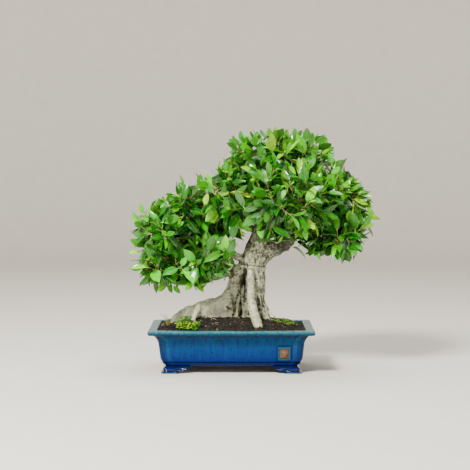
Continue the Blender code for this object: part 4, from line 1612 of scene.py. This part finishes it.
class LeafShape(Enum):
    """The fig leaf's four forms: half width, fold, curl and twist, as shares of its length."""

    BROAD = (0.205, 0.26, 0.14, 0.10)
    NARROW = (0.160, 0.40, 0.24, -0.14)
    FLAT = (0.185, 0.14, 0.04, 0.05)
    YOUNG = (0.150, 0.60, -0.05, 0.0)

    def section(self, place: float, share: float) -> list[Vector]:
        """The four points of the blade's section: left edge, top, right edge and underside.

        Args:
            place: where along the blade it lies, from 0 to 1.
            share: its width as a share of the widest.

        Returns:
            The points, with the leaf's length as one unit.
        """
        half_width, fold, curl, twist = self.value
        x = LEAF_STALK + place * (1 - LEAF_STALK)
        wide = half_width * share
        drop = -curl * place**2
        lift = wide * fold + 0.012 * math.sin(place * 9) * share
        lean = twist * place
        points = []
        for y, z in ((wide, lift), (0, 0), (-wide, lift), (0, -LEAF_THICKNESS)):
            across = y * math.cos(lean) - z * math.sin(lean)
            points.append(Vector((x, across, drop + z * math.cos(lean) + y * math.sin(lean))))
        return points

    def blade(self, bm: BMesh, uv: bmesh.types.BMLayerItem) -> None:
        """Skin the blade, with its place along and across it kept as UV; the underside is two further on.

        Args:
            bm: where the faces go.
            uv: the UV layer.
        """
        rows = []
        for place, share in LEAF_OUTLINE:
            points = self.section(place, share)
            rows.append([bm.verts.new(p) for p in (points if share else points[1:2])])
        across = ((0.0, 0.5), (0.5, 1.0), (3.0, 2.5), (2.5, 2.0))
        for row, (low, high) in enumerate(zip(rows, rows[1:])):
            near, far = LEAF_OUTLINE[row][0], LEAF_OUTLINE[row + 1][0]
            for i, (left, right) in enumerate(across):
                j = (i + 1) % 4
                corners = [(low[i % len(low)], near, left), (high[i % len(high)], far, left)]
                if len(high) > 1:
                    corners.append((high[j], far, right))
                if len(low) > 1:
                    corners.append((low[j], near, right))
                made = bm.faces.new([corner[0] for corner in corners])
                for loop, corner in zip(made.loops, corners):
                    loop[uv].uv = corner[1:]

    @staticmethod
    def stalk(bm: BMesh, uv: bmesh.types.BMLayerItem) -> None:
        """Add the three-sided stalk, marked by a UV before the blade's start.

        Args:
            bm: where the faces go.
            uv: the UV layer.
        """
        rings = []
        for x, radius in ((0.0, 0.017), (LEAF_STALK + 0.02, 0.012)):
            turns = [math.tau * i / 3 for i in range(3)]
            rings.append([Vector((x, radius * math.cos(a), radius * math.sin(a) - 0.008)) for a in turns])
        before = set(bm.faces)
        skin(bm, rings)
        for face in set(bm.faces) - before:
            for loop in face.loops:
                loop[uv].uv = (-0.1, 0.5)

    def mesh(self) -> Mesh:
        """A leaf of unit length along X with its top facing Z.

        Returns:
            A closed mesh with a UV map.
        """
        bm = bmesh.new()
        uv = bm.loops.layers.uv.new("leaf")
        self.blade(bm, uv)
        self.stalk(bm, uv)
        bm.normal_update()
        for edge in bm.edges:
            edge.smooth = edge.calc_face_angle(0) < math.radians(75)
        return mesh_from(bm, f"leaf_{self.name.lower()}")


@dataclass
class Shoot:
    """One leafy shoot: its tip, its way, its vigour and how far it may pass the outline in mm."""

    tip: Vector
    way: Vector
    vigour: float
    slack: float


@dataclass(frozen=True)
class Spur:
    """A shoot that stands out of a pad: the pad, and its tip in mm from the pot's middle, and its way."""

    pad: str
    tip: Point
    way: Point


@dataclass(frozen=True)
class Layer:
    """One layer of shoots in a pad: spacing, reach from the middle, leaves on each and age."""

    spacing: float
    reach: tuple[float, float]
    leaves: tuple[int, int]
    age: float


@dataclass
class Canopy:
    """The leaf pads: shoots that grow from the limbs out to the surface of each pad."""

    wood: TreeWood
    leaf_length: float = 0.045
    node_gap: float = 0.0076
    margin: float = 0.009
    fresh_end: float = 0.165
    stem_length: float = 0.048
    leader_share: float = 0.12
    seed: int = 11
    layers: tuple[Layer, ...] = (
        Layer(0.030, (0.74, 1.0), (5, 9), 0.30),
        # The inner layer's leaves are old and dark, which stands partly for painted shade inside the pads.
        Layer(0.037, (0.42, 0.68), (4, 7), 0.85),
    )
    spurs: tuple[Spur, ...] = (
        Spur("leaves_crown_right", (258, -4, 286), (1.0, -0.1, 0.05)),
        Spur("leaves_left_top", (-92, -10, 343), (0.25, -0.1, 1.0)),
        Spur("leaves_crown_top", (10, -20, 424), (-0.5, -0.2, 0.8)),
    )

    def __post_init__(self) -> None:
        """Read the pads from the frame."""
        self.rng = np.random.default_rng(self.seed)
        self.pads = {}
        for name in sorted(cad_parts):
            if name.startswith("leaves_"):
                low, high = box_of(name)
                drop, rise = PAD_GROWTH.get(name, (0.0, 0.0))
                centre = (low + high) / 2 + UP * (rise - drop) * MM / 2
                self.pads[name] = (centre, (high - low) / 2 + UP * (rise + drop) * MM / 2)
        self.grown = self.wood.anchors()

    def depth_in(self, point: Vector, name: str) -> float:
        """How far out a point lies in a pad: 0 at its middle, 1 at its surface."""
        centre, radii = self.pads[name]
        offset = point - centre
        return math.sqrt(sum((offset[i] / radii[i]) ** 2 for i in range(3)))

    def overshoot(self, point: Vector) -> float:
        """How far outside the front outline a point lies, in millimetres; inside it is negative.

        Args:
            point: a point in the frame.

        Returns:
            The distance in millimetres on the plane through the pot's middle.
        """
        local = (point - self.wood.pot.centre) / MM
        eye = Vector(FRONT_EYE)
        share = -eye.y / (local.y - eye.y)
        seen_x = eye.x + (local.x - eye.x) * share
        seen_z = eye.z + (local.z - eye.z) * share
        nearest = math.inf
        inside = False
        for (x1, z1), (x2, z2) in zip(FRONT_OUTLINE, FRONT_OUTLINE[1:] + FRONT_OUTLINE[:1]):
            run, rise = x2 - x1, z2 - z1
            along = ((seen_x - x1) * run + (seen_z - z1) * rise) / (run * run + rise * rise)
            along = min(1.0, max(0.0, along))
            nearest = min(nearest, math.hypot(seen_x - x1 - along * run, seen_z - z1 - along * rise))
            if (z1 > seen_z) != (z2 > seen_z) and seen_x < x1 + run * (seen_z - z1) / rise:
                inside = not inside
        return -nearest if inside else nearest

    def shoots_of(self, name: str, layer: Layer) -> list[Shoot]:
        """One layer of a pad's shoots.

        Args:
            name: the pad's CAD node.
            layer: the layer.

        Returns:
            The shoots.
        """
        centre, radii = self.pads[name]
        mean = (radii.x * radii.y + radii.y * radii.z + radii.z * radii.x) / 3
        middle_reach = sum(layer.reach) / 2
        count = int(4 * math.pi * mean * middle_reach**2 / layer.spacing**2)
        shoots = []
        for i in range(count):
            z = 1 - 2 * (i + 0.5) / count
            ball = flat_way(i * GOLDEN_ANGLE + layer.age * 3) * math.sqrt(1 - z * z) + UP * z
            reach = self.rng.uniform(*layer.reach)
            tip = centre + ball * radii * reach + Vector(self.rng.normal(0, 0.006, 3))
            outward = Vector([ball[k] / radii[k] for k in range(3)]).normalized()
            way = (outward + UP * 0.25 + Vector(self.rng.normal(0, 0.30, 3))).normalized()
            leader = self.rng.random() < self.leader_share
            room = self.rng.uniform(1, 8) if leader else self.rng.uniform(10, 26)
            for _ in range(14):
                if self.overshoot(tip) < -room:
                    break
                tip = tip.lerp(centre, 0.09)
            others = [other for other in self.pads if other != name]
            buried = any(self.depth_in(tip, other) < layer.reach[0] * 0.86 for other in others)
            sparse = outward.z < -0.35 and self.rng.random() < 0.3
            if sparse or buried or self.hides_trunk(tip) or self.overshoot(tip) > 0:
                continue
            slack = self.rng.uniform(8, 15) if leader else self.rng.uniform(-2, 9)
            shoots.append(Shoot(tip, way, self.rng.uniform(0.75, 1.2), slack))
        return shoots

    def hides_trunk(self, point: Vector) -> bool:
        """Whether a point would cover the bare trunk as seen from the front."""
        local = (point - self.wood.foot) / MM
        return 14 < local.x < 132 and local.z < 146 and local.y < 60

    def grow(self, shoots: list[Shoot], stems: Stems) -> None:
        """Join each shoot to the nearest wood by a curved twig.

        Args:
            shoots: the shoots.
            stems: where the twigs are drawn.
        """
        starts = np.array([place for place, _ in self.grown])
        order = sorted(shoots, key=lambda s: float(np.min(np.linalg.norm(starts - np.array(s.tip), axis=1))))
        for shoot in order:
            stem = shoot.way * self.stem_length * shoot.vigour
            root = shoot.tip - stem
            places = np.array([place for place, _ in self.grown])
            nearest = int(np.argmin(np.linalg.norm(places - np.array(root), axis=1)))
            start, thick = self.grown[nearest]
            gap = (root - start).length
            steps = max(2, int(gap / 0.012))
            bend = start.lerp(root, 0.5) + Vector(self.rng.normal(0, 0.12 * gap, 3))
            route = []
            for t in even_steps(0, 1, steps):
                route.append(start * (1 - t) ** 2 + bend * 2 * t * (1 - t) + root * t * t)
            route += [root + stem * t for t in (0.35, 0.7, 1.0)]
            thickest = min(thick * 0.75, 0.0012 + 0.013 * gap)
            last = len(route) - 1
            radii = [thickest + (0.0007 - thickest) * (i / last) ** 0.7 for i in range(last + 1)]
            ages = [min(1.0, 1.25 * (1 - i / last)) for i in range(last + 1)]
            stems.add(route, radii, ages)
            self.grown += list(zip(route[1 : steps + 1], radii[1 : steps + 1]))

    def leaf_out(self, shoot: Shoot, layer: Layer, leaves: Scatter) -> None:
        """Put the leaves on one shoot, in a spiral round it.

        Args:
            shoot: the shoot.
            layer: its layer.
            leaves: where the leaves are listed.
        """
        count = int(self.rng.integers(*layer.leaves))
        start = self.rng.uniform(0, math.tau)
        side = shoot.way.cross(UP + Vector((0.01, 0.02, 0))).normalized()
        other = shoot.way.cross(side)
        fresh = self.rng.random() < (0.5 if shoot.tip.x > self.fresh_end else 0.2) and layer.age < 0.5
        for i in range(count):
            share = i / (count - 1)
            place = shoot.tip - shoot.way * self.node_gap * i * shoot.vigour
            angle = start + i * GOLDEN_ANGLE + self.rng.normal(0, 0.2)
            lean = math.radians(16 + 58 * share**0.7 + self.rng.normal(0, 9))
            round_way = side * math.cos(angle) + other * math.sin(angle)
            along = shoot.way * math.cos(lean) + round_way * math.sin(lean)
            along = (along - UP * 0.20 * share).normalized()
            facing = shoot.way * 1.1 + UP * 0.4 + Vector(self.rng.normal(0, 0.40, 3))
            size = self.leaf_length * self.rng.uniform(0.74, 1.16) * (0.60 + 0.40 * min(1.0, share * 2.2))
            if not self.fits(place + along * size, shoot.slack):
                size *= 0.84
                if not self.fits(place + along * size, shoot.slack):
                    continue
            age = layer.age + 0.40 * share + self.rng.normal(0, 0.20)
            if fresh:
                age = self.rng.uniform(0.0, 0.22) + 0.2 * share
            kind = 3 if share < 0.15 and fresh else int(self.rng.integers(0, 3))
            leaves.add(place, along, facing, size, kind, float(np.clip(age, 0, 1)), float(self.rng.random()))

    def fits(self, tip: Vector, slack: float) -> bool:
        """Whether a leaf's tip keeps to the outline, the box and clear of the trunk."""
        low, high = CAD_BOX
        boxed = all(low[i] - self.margin <= tip[i] <= high[i] + self.margin for i in range(3))
        return boxed and not self.hides_trunk(tip) and self.overshoot(tip) < slack

    def build(self, leaf: Material, twig: Material) -> None:
        """Grow every pad and stand it in for its CAD node.

        Args:
            leaf: the leaf's material.
            twig: the twig's material.
        """
        shapes = [shape.mesh() for shape in LeafShape]
        stems = Stems()
        lists = {name: Scatter() for name in self.pads}
        for layer in self.layers[::-1]:
            leafy = []
            for name, leaves in lists.items():
                for shoot in self.shoots_of(name, layer):
                    before = len(leaves.places)
                    self.leaf_out(shoot, layer, leaves)
                    if len(leaves.places) > before + 2:
                        leafy.append(shoot)
            self.grow(leafy, stems)
        leafy = []
        for spur in self.spurs:
            tip = self.wood.pot.centre + Vector(spur.tip) * MM
            leafy.append(Shoot(tip, Vector(spur.way).normalized(), 1.0, 14.0))
            self.leaf_out(leafy[-1], self.layers[0], lists[spur.pad])
        self.grow(leafy, stems)
        hand_over(stems.build("twigs", twig), "bark")
        for name, leaves in lists.items():
            hand_over(leaves.build(f"foliage_{name[7:]}", shapes, leaf), "ficus_leaf", name)
        log.info("canopy: %d leaves", sum(len(leaves.places) for leaves in lists.values()))


# ---- ground


@dataclass
class Ground:
    """The soil with its crumbs, and the stones, moss, weeds and grass on it."""

    pot: Pot
    soil_below_rim: float = 0.0025
    mound: float = 0.018
    gap: float = 0.0003
    weed_shift: tuple[float, float] = (0.004, -0.006)
    crumbs: int = 3200
    seed: int = 5

    def __post_init__(self) -> None:
        """Work out the soil's outline."""
        self.rng = np.random.default_rng(self.seed)
        self.edge = self.pot.height - self.soil_below_rim
        inset = self.pot.cavity(self.edge) + self.gap
        self.half_x = self.pot.width / 2 - inset
        self.half_y = self.pot.depth / 2 - inset

    def level(self, x: float, y: float) -> float:
        """The soil's smooth height."""
        share = min(1.0, (abs(x / self.half_x) ** 4 + abs(y / self.half_y) ** 4) ** 0.25)
        return self.edge + self.mound * (1 - share**2.2)

    def surface(self, x: float, y: float) -> float:
        """The soil's height with its lumps.

        Args:
            x: across, from the pot's middle.
            y: back, from the pot's middle.

        Returns:
            The height in metres.
        """
        spot = Vector((x, y, 0.0))
        rough = 0.0016 * noise.noise(spot * 90) + 0.0009 * noise.noise(spot * 260)
        rough += 0.0005 * noise.noise(spot * 700)
        share = max(abs(x) / self.half_x, abs(y) / self.half_y)
        return self.level(x, y) + rough * (1 if share < 0.97 else 0.3) - 0.012 * max(0.0, share - 0.9)

    def on_soil(self, x: float, y: float, lift: float = 0.0) -> Vector:
        """A place on the soil."""
        return self.pot.centre + Vector((x, y, self.surface(x, y) + lift))

    def soil(self, material: Material) -> Object:
        """The soil as one closed body.

        Args:
            material: the soil's material.

        Returns:
            The soil's object.
        """
        rings = []
        for z in even_steps(self.pot.floor_top + 0.001, self.edge, 6):
            rings.append(self.pot.ring(self.pot.cavity(z) + self.gap, z, 6, 60))
        corner = self.pot.rim_corner + (self.pot.width / 2 - self.half_x) / 4
        for share in even_steps(0.985, 0.03, 62):
            top = ring_points(self.half_x * share, self.half_y * share, corner * share, 0, 6, 60)
            rings.append([self.on_soil(p.x, p.y) for p in top])
        piece = solid("soil_bed", rings, material)
        tint = 0.42 + 0.3 * noise_values(coordinates(piece.data), 0.011, 3.0, 2)
        store_values(piece.data, "tint", np.clip(tint, 0, 1))
        return piece

    @staticmethod
    def crumb_shapes() -> list[Mesh]:
        """Five angular crumbs of unit size.

        Returns:
            Their meshes.
        """
        shapes = []
        for number in range(5):
            bm = bmesh.new()
            bmesh.ops.create_icosphere(bm, subdivisions=1, radius=0.5)
            for vert in bm.verts:
                vert.co *= 1 + 0.45 * noise.noise(vert.co * 2.3 + Vector((number * 5.1, 0, 0)))
            stretch = (1.25, 0.85, 0.6) if number % 2 else (1.0, 0.9, 0.75)
            bmesh.ops.scale(bm, vec=stretch, verts=bm.verts)
            shapes.append(mesh_from(bm, f"crumb_{number}", smooth=False))
        return shapes

    def scatter_crumbs(self, material: Material) -> Object:
        """Crumbs of bark, peat and clay over the soil.

        Args:
            material: the soil's material.

        Returns:
            The crumbs as one object.
        """
        crumbs = Scatter()
        for _ in range(self.crumbs):
            x = self.rng.uniform(-0.985, 0.985) * self.half_x
            y = self.rng.uniform(-0.985, 0.985) * self.half_y
            size = 0.0014 + 0.0046 * self.rng.random() ** 2.2
            place = self.on_soil(x, y, size * 0.12)
            along = Vector(self.rng.normal(0, 1, 3)) * Vector((1, 1, 0.35))
            facing = UP + Vector(self.rng.normal(0, 0.4, 3))
            crumbs.add(place, along, facing, size, int(self.rng.integers(0, 5)), 0.0, float(self.rng.random()))
        piece = crumbs.build("soil_crumbs", self.crumb_shapes(), material)
        tones = np.empty(len(piece.data.vertices), dtype=np.float32)
        piece.data.attributes["tone"].data.foreach_get("value", tones)
        store_values(piece.data, "tint", tones**1.25)
        return piece

    @staticmethod
    def stone(node: str, material: Material, seed: float) -> None:
        """A pebble in the place of its CAD node.

        Args:
            node: the CAD node.
            material: its stone.
            seed: its shape.
        """
        low, high = box_of(node)
        bm = bmesh.new()
        bmesh.ops.create_icosphere(bm, subdivisions=4, radius=1.0)
        for vert in bm.verts:
            lumps = 0.22 * noise.noise(vert.co * 1.3 + Vector((seed, 0, 0)))
            vert.co *= 1 + lumps + 0.04 * noise.noise(vert.co * 6)
        bmesh.ops.scale(bm, vec=(high - low) / 2, verts=bm.verts)
        bmesh.ops.translate(bm, vec=(high + low) / 2, verts=bm.verts)
        hand_over(new_object(f"stone_{node[7:]}", mesh_from(bm, node), material), "pebble", node)

    def spot_in(self, node: str) -> Station:
        """A CAD node's middle from the pot's middle, and its half sizes in plan."""
        low, high = box_of(node)
        middle = (low + high) / 2 - self.pot.centre
        half = (high - low) / 2
        return middle.x, middle.y, half.x, half.y

    @staticmethod
    def blade_shapes() -> list[Mesh]:
        """Three narrow moss blades of unit height, standing along X.

        Returns:
            Their meshes.
        """
        shapes = []
        for lean in (0.05, 0.25, 0.45):
            bm = bmesh.new()
            rings = []
            for share, radius in ((0.0, 0.10), (0.5, 0.13)):
                turns = [math.tau * i / 3 for i in range(3)]
                drop = lean * share**2
                rings.append([Vector((share, radius * math.cos(a), radius * math.sin(a) - drop)) for a in turns])
            skin(bm, rings, Vector((1.0, 0, -lean)))
            shapes.append(mesh_from(bm, "blade"))
        return shapes

    def moss(self, node: str, material: Material, count: int) -> None:
        """A cushion of moss in the place of its CAD node.

        Args:
            node: the CAD node.
            material: the moss.
            count: how many blades it has.
        """
        x0, y0, half_x, half_y = self.spot_in(node)
        tufts = Scatter()
        for i in range(count):
            share = math.sqrt((i + 0.5) / count)
            out = flat_way(i * GOLDEN_ANGLE)
            ragged = 0.85 + 0.3 * noise.noise((out + UP * x0 * 50) * 1.8)
            x = x0 + half_x * share * ragged * out.x
            y = y0 + half_y * share * ragged * out.y
            swell = 0.0045 * (1 - share**2) * (0.6 + 0.4 * noise.noise(Vector((x, y, 0)) * 160))
            along = UP + out * 0.5 * share + Vector(self.rng.normal(0, 0.35, 3))
            size = 0.0024 + 0.0036 * self.rng.random() ** 2
            facing = Vector(self.rng.normal(0, 1, 3))
            place = self.on_soil(x, y, swell - 0.0012)
            tufts.add(place, along, facing, size, i % 3, float(self.rng.random()), 0.5)
        hand_over(tufts.build(f"{node}_cushion", self.blade_shapes(), material), "moss", node)

    @staticmethod
    def small_leaf() -> Mesh:
        """A small round weed leaf of unit length along X.

        Returns:
            Its mesh.
        """
        rings = []
        for share, wide in ((0.0, 0.06), (0.25, 0.34), (0.58, 0.44), (0.85, 0.30)):
            drop = -0.18 * share**2
            points = ((share, wide, drop + wide * 0.3), (share, -wide, drop + wide * 0.3), (share, 0, drop - 0.05))
            rings.append([Vector(point) for point in points])
        bm = bmesh.new()
        skin(bm, rings, Vector((1.0, 0, -0.16)))
        return mesh_from(bm, "weed_leaf")

    def weeds(self, node: str, material: Material, plants: int, height: float) -> None:
        """A clump of small-leaved weeds in the place of its CAD node.

        Args:
            node: the CAD node.
            material: the weed's green.
            plants: how many stems it has.
            height: the tallest stem.
        """
        x0, y0, half_x, half_y = self.spot_in(node)
        leaves = Scatter()
        stems = Stems()
        for i in range(plants):
            share = math.sqrt(self.rng.random())
            out = flat_way(self.rng.uniform(0, math.tau))
            x = x0 + self.weed_shift[0] + half_x * 0.9 * share * out.x
            y = y0 + self.weed_shift[1] + half_y * 0.85 * share * out.y
            root = self.on_soil(x, y, -0.001)
            tall = height * self.rng.uniform(0.25, 1.0)
            way = (UP + out * 0.45 * share + Vector(self.rng.normal(0, 0.16, 3))).normalized()
            route = [root + way * tall * t - UP * 0.001 * t * t for t in (0.0, 0.5, 1.0)]
            stems.add(route, [0.0006, 0.0005, 0.0003], [0.8, 0.5, 0.3])
            count = int(self.rng.integers(4, 8))
            fresh = self.rng.random()
            for k in range(count):
                place = root + way * tall * (0.35 + 0.65 * k / (count - 1))
                size = self.rng.uniform(0.0042, 0.0070)
                age = float(np.clip(fresh + self.rng.normal(0, 0.2), 0, 1))
                facing = Vector((0, -0.8, 1)) + way * 0.3
                leaves.add(place, flat_way(k * GOLDEN_ANGLE + i, 0.15), facing, size, 0, age, 0.5)
        hand_over(leaves.build(f"{node}_leaves", [self.small_leaf()], material), "weed_leaf", node)
        hand_over(stems.build(f"{node}_stalks", material, 4), "weed_leaf")

    def grass(self, node: str, material: Material, count: int) -> None:
        """Thin arching stems in the place of their CAD node.

        Args:
            node: the CAD node.
            material: the grass.
            count: how many stems there are.
        """
        x0, y0, half_x, half_y = self.spot_in(node)
        low, high = box_of(node)
        stems = Stems()
        for i in range(count):
            share = math.sqrt((i + 0.5) / count)
            out = flat_way(i * GOLDEN_ANGLE)
            root = self.on_soil(x0 + half_x * 0.5 * share * out.x, y0 + half_y * 0.5 * share * out.y, -0.002)
            reach = self.rng.uniform(0.5, 0.98) * (high.z - low.z)
            arch = out * reach * 0.55 * share
            route = [root + UP * reach * t * (1.15 - 0.25 * t) + arch * t * t for t in even_steps(0, 1, 5)]
            radii = [0.00055 * (1 - 0.75 * t) for t in even_steps(0, 1, 5)]
            stems.add(route, radii, [float(self.rng.random())] * 6)
        hand_over(stems.build(f"{node}_stems", material, 4), "grass", node)

    def build(self) -> None:
        """Build the soil and all that lies on it."""
        mix = PottingMix().build()
        hand_over(self.soil(mix), "soil", "soil")
        hand_over(self.scatter_crumbs(mix), "soil", "soil")
        self.stone("pebble_pale", Pebble().build(), 1.0)
        brown = Pebble(name="brown_pebble", dark="#5E5A38", light="#A39A6E")
        self.stone("pebble_brown", brown.build(), 7.0)
        moss = SmallGreen(name="cushion_moss", roughness=0.85, young="#6E7426", old="#262F0E").build()
        self.moss("moss_left", moss, 1500)
        sprouting = SmallGreen(name="sprouting_moss", roughness=0.7, young="#6E9C26", old="#1E360C").build()
        self.moss("moss_right", sprouting, 800)
        self.weeds("moss_right", sprouting, 24, 0.008)
        weed = SmallGreen(name="weed_leaf", roughness=0.5, young="#A8CC2A", old="#268010").build()
        self.weeds("weed_clump", weed, 34, 0.020)
        grass = SmallGreen(name="dry_grass", roughness=0.7, young="#A89A5A", old="#5C7A2C").build()
        self.grass("grass_tuft", grass, 16)


# ---- studio


@dataclass
class Studio:
    """Pale floor and backdrop, soft light and the camera."""

    target: Vector
    distance: float = 2.659
    eye_height: float = 0.390
    eye_side: float = 0.0066
    pitch: float = 2.915
    lens: float = 107.2
    aim_height: float = 0.22
    floor_radius: float = 3.0
    cove_radius: float = 1.0
    wall_height: float = 3.2
    sweep_sides: int = 72

    def camera(self) -> None:
        """Set the camera in front of the pot, a little above its rim."""
        data = bpy.data.cameras.new("camera")
        data.lens = self.lens
        data.sensor_width = 36.0
        data.clip_start = 0.05
        made = put_in_scene(bpy.data.objects.new("camera", data))
        made.location = self.target + Vector((self.eye_side, -self.distance, self.eye_height))
        made.rotation_euler = (math.radians(90 - self.pitch), 0, 0)
        bpy.context.scene.camera = made

    def light(self, name: str, place: Point, size: float, power: float, tint: str) -> None:
        """Add one soft area light aimed at the tree.

        Args:
            name: the light's name.
            place: where it stands, from the pot's middle.
            size: its width.
            power: its power in watts.
            tint: its colour.
        """
        data = bpy.data.lights.new(name, "AREA")
        data.size = size
        data.energy = power
        data.color = srgb(tint)[:3]
        made = put_in_scene(bpy.data.objects.new(name, data))
        made.location = self.target + Vector(place)
        aim = self.target + UP * self.aim_height - made.location
        made.rotation_euler = aim.to_track_quat("-Z", "Y").to_euler()

    def backdrop(self) -> None:
        """A pale floor that curves up into a pale wall all round."""
        profile = [(radius, 0.0) for radius in (0.8, 1.6, self.floor_radius)]
        for angle in even_steps(0, math.pi / 2, 16)[1:]:
            out = self.floor_radius + self.cove_radius * math.sin(angle)
            profile.append((out, self.cove_radius * (1 - math.cos(angle))))
        profile.append((self.floor_radius + self.cove_radius, self.wall_height))
        bm = bmesh.new()
        centre = bm.verts.new(self.target)
        ways = [flat_way(math.tau * i / self.sweep_sides) for i in range(self.sweep_sides)]
        rows = []
        for radius, z in profile:
            rows.append([bm.verts.new(self.target + way * radius + UP * z) for way in ways])
        for i in range(self.sweep_sides):
            j = (i + 1) % self.sweep_sides
            bm.faces.new((centre, rows[0][i], rows[0][j]))
            for low, high in zip(rows, rows[1:]):
                bm.faces.new((low[i], high[i], high[j], low[j]))
        for face in bm.faces:
            face.smooth = True
        mesh = bpy.data.meshes.new("studio_sweep")
        bm.to_mesh(mesh)
        bm.free()
        paper = PlainMaterial(
            name="studio_paper", roughness=0.9, colour="#F0ECE4", second="#ECE8E0", grain_mm=40.0
        )
        new_object("studio_sweep", mesh, paper.build())

    def build(self) -> None:
        """Set up the studio."""
        self.camera()
        self.backdrop()
        self.light("key", (-1.1, -1.9, 2.1), 0.65, 172.0, "#FFFAF0")
        self.light("fill", (1.2, -2.4, 0.6), 1.5, 18.0, "#F6F8FF")
        self.light("top", (0.2, 0.4, 2.4), 1.4, 34.0, "#FFFFFF")
        world = bpy.data.worlds.new("soft_room")
        world.use_nodes = True
        sky = world.node_tree.nodes["Background"]
        sky.inputs["Color"].default_value = srgb("#F4F2EE")
        sky.inputs["Strength"].default_value = 0.24
        bpy.context.scene.world = world


# ---- the whole object


def dress_small_parts() -> None:
    """Give the drain screens and their clips their finishes."""
    plastic = PlainMaterial(name="moulded_screen_plastic", colour="#2A2A2A", second="#1E1E1E", roughness=0.6)
    wire = PlainMaterial(
        name="drawn_aluminium_wire", colour="#B8B8BC", second="#A4A4A8", roughness=0.35, metallic=1.0, grain_mm=0.5
    )
    finishes = {"drain_screen": plastic.build(), "screen_clip": wire.build()}
    for name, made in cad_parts.items():
        for start, material in finishes.items():
            if name.startswith(start):
                set_material(made, material)


def main() -> None:
    """Build the whole object in order."""
    logging.basicConfig(level=logging.INFO, format="%(name)s: %(message)s")
    pot = Pot()
    Studio(pot.centre).build()
    glaze = CobaltGlaze(seal=pot.seal_place(), front=pot.centre.y - pot.depth / 4)
    pot.build(glaze.build(), BareClay().build())
    wood = TreeWood(pot)
    wood.build(FicusBark().build())
    Ground(pot).build()
    dress_small_parts()
    Canopy(wood).build(FigLeaf().build(), Twig().build())


if __name__ == "__main__":
    main()
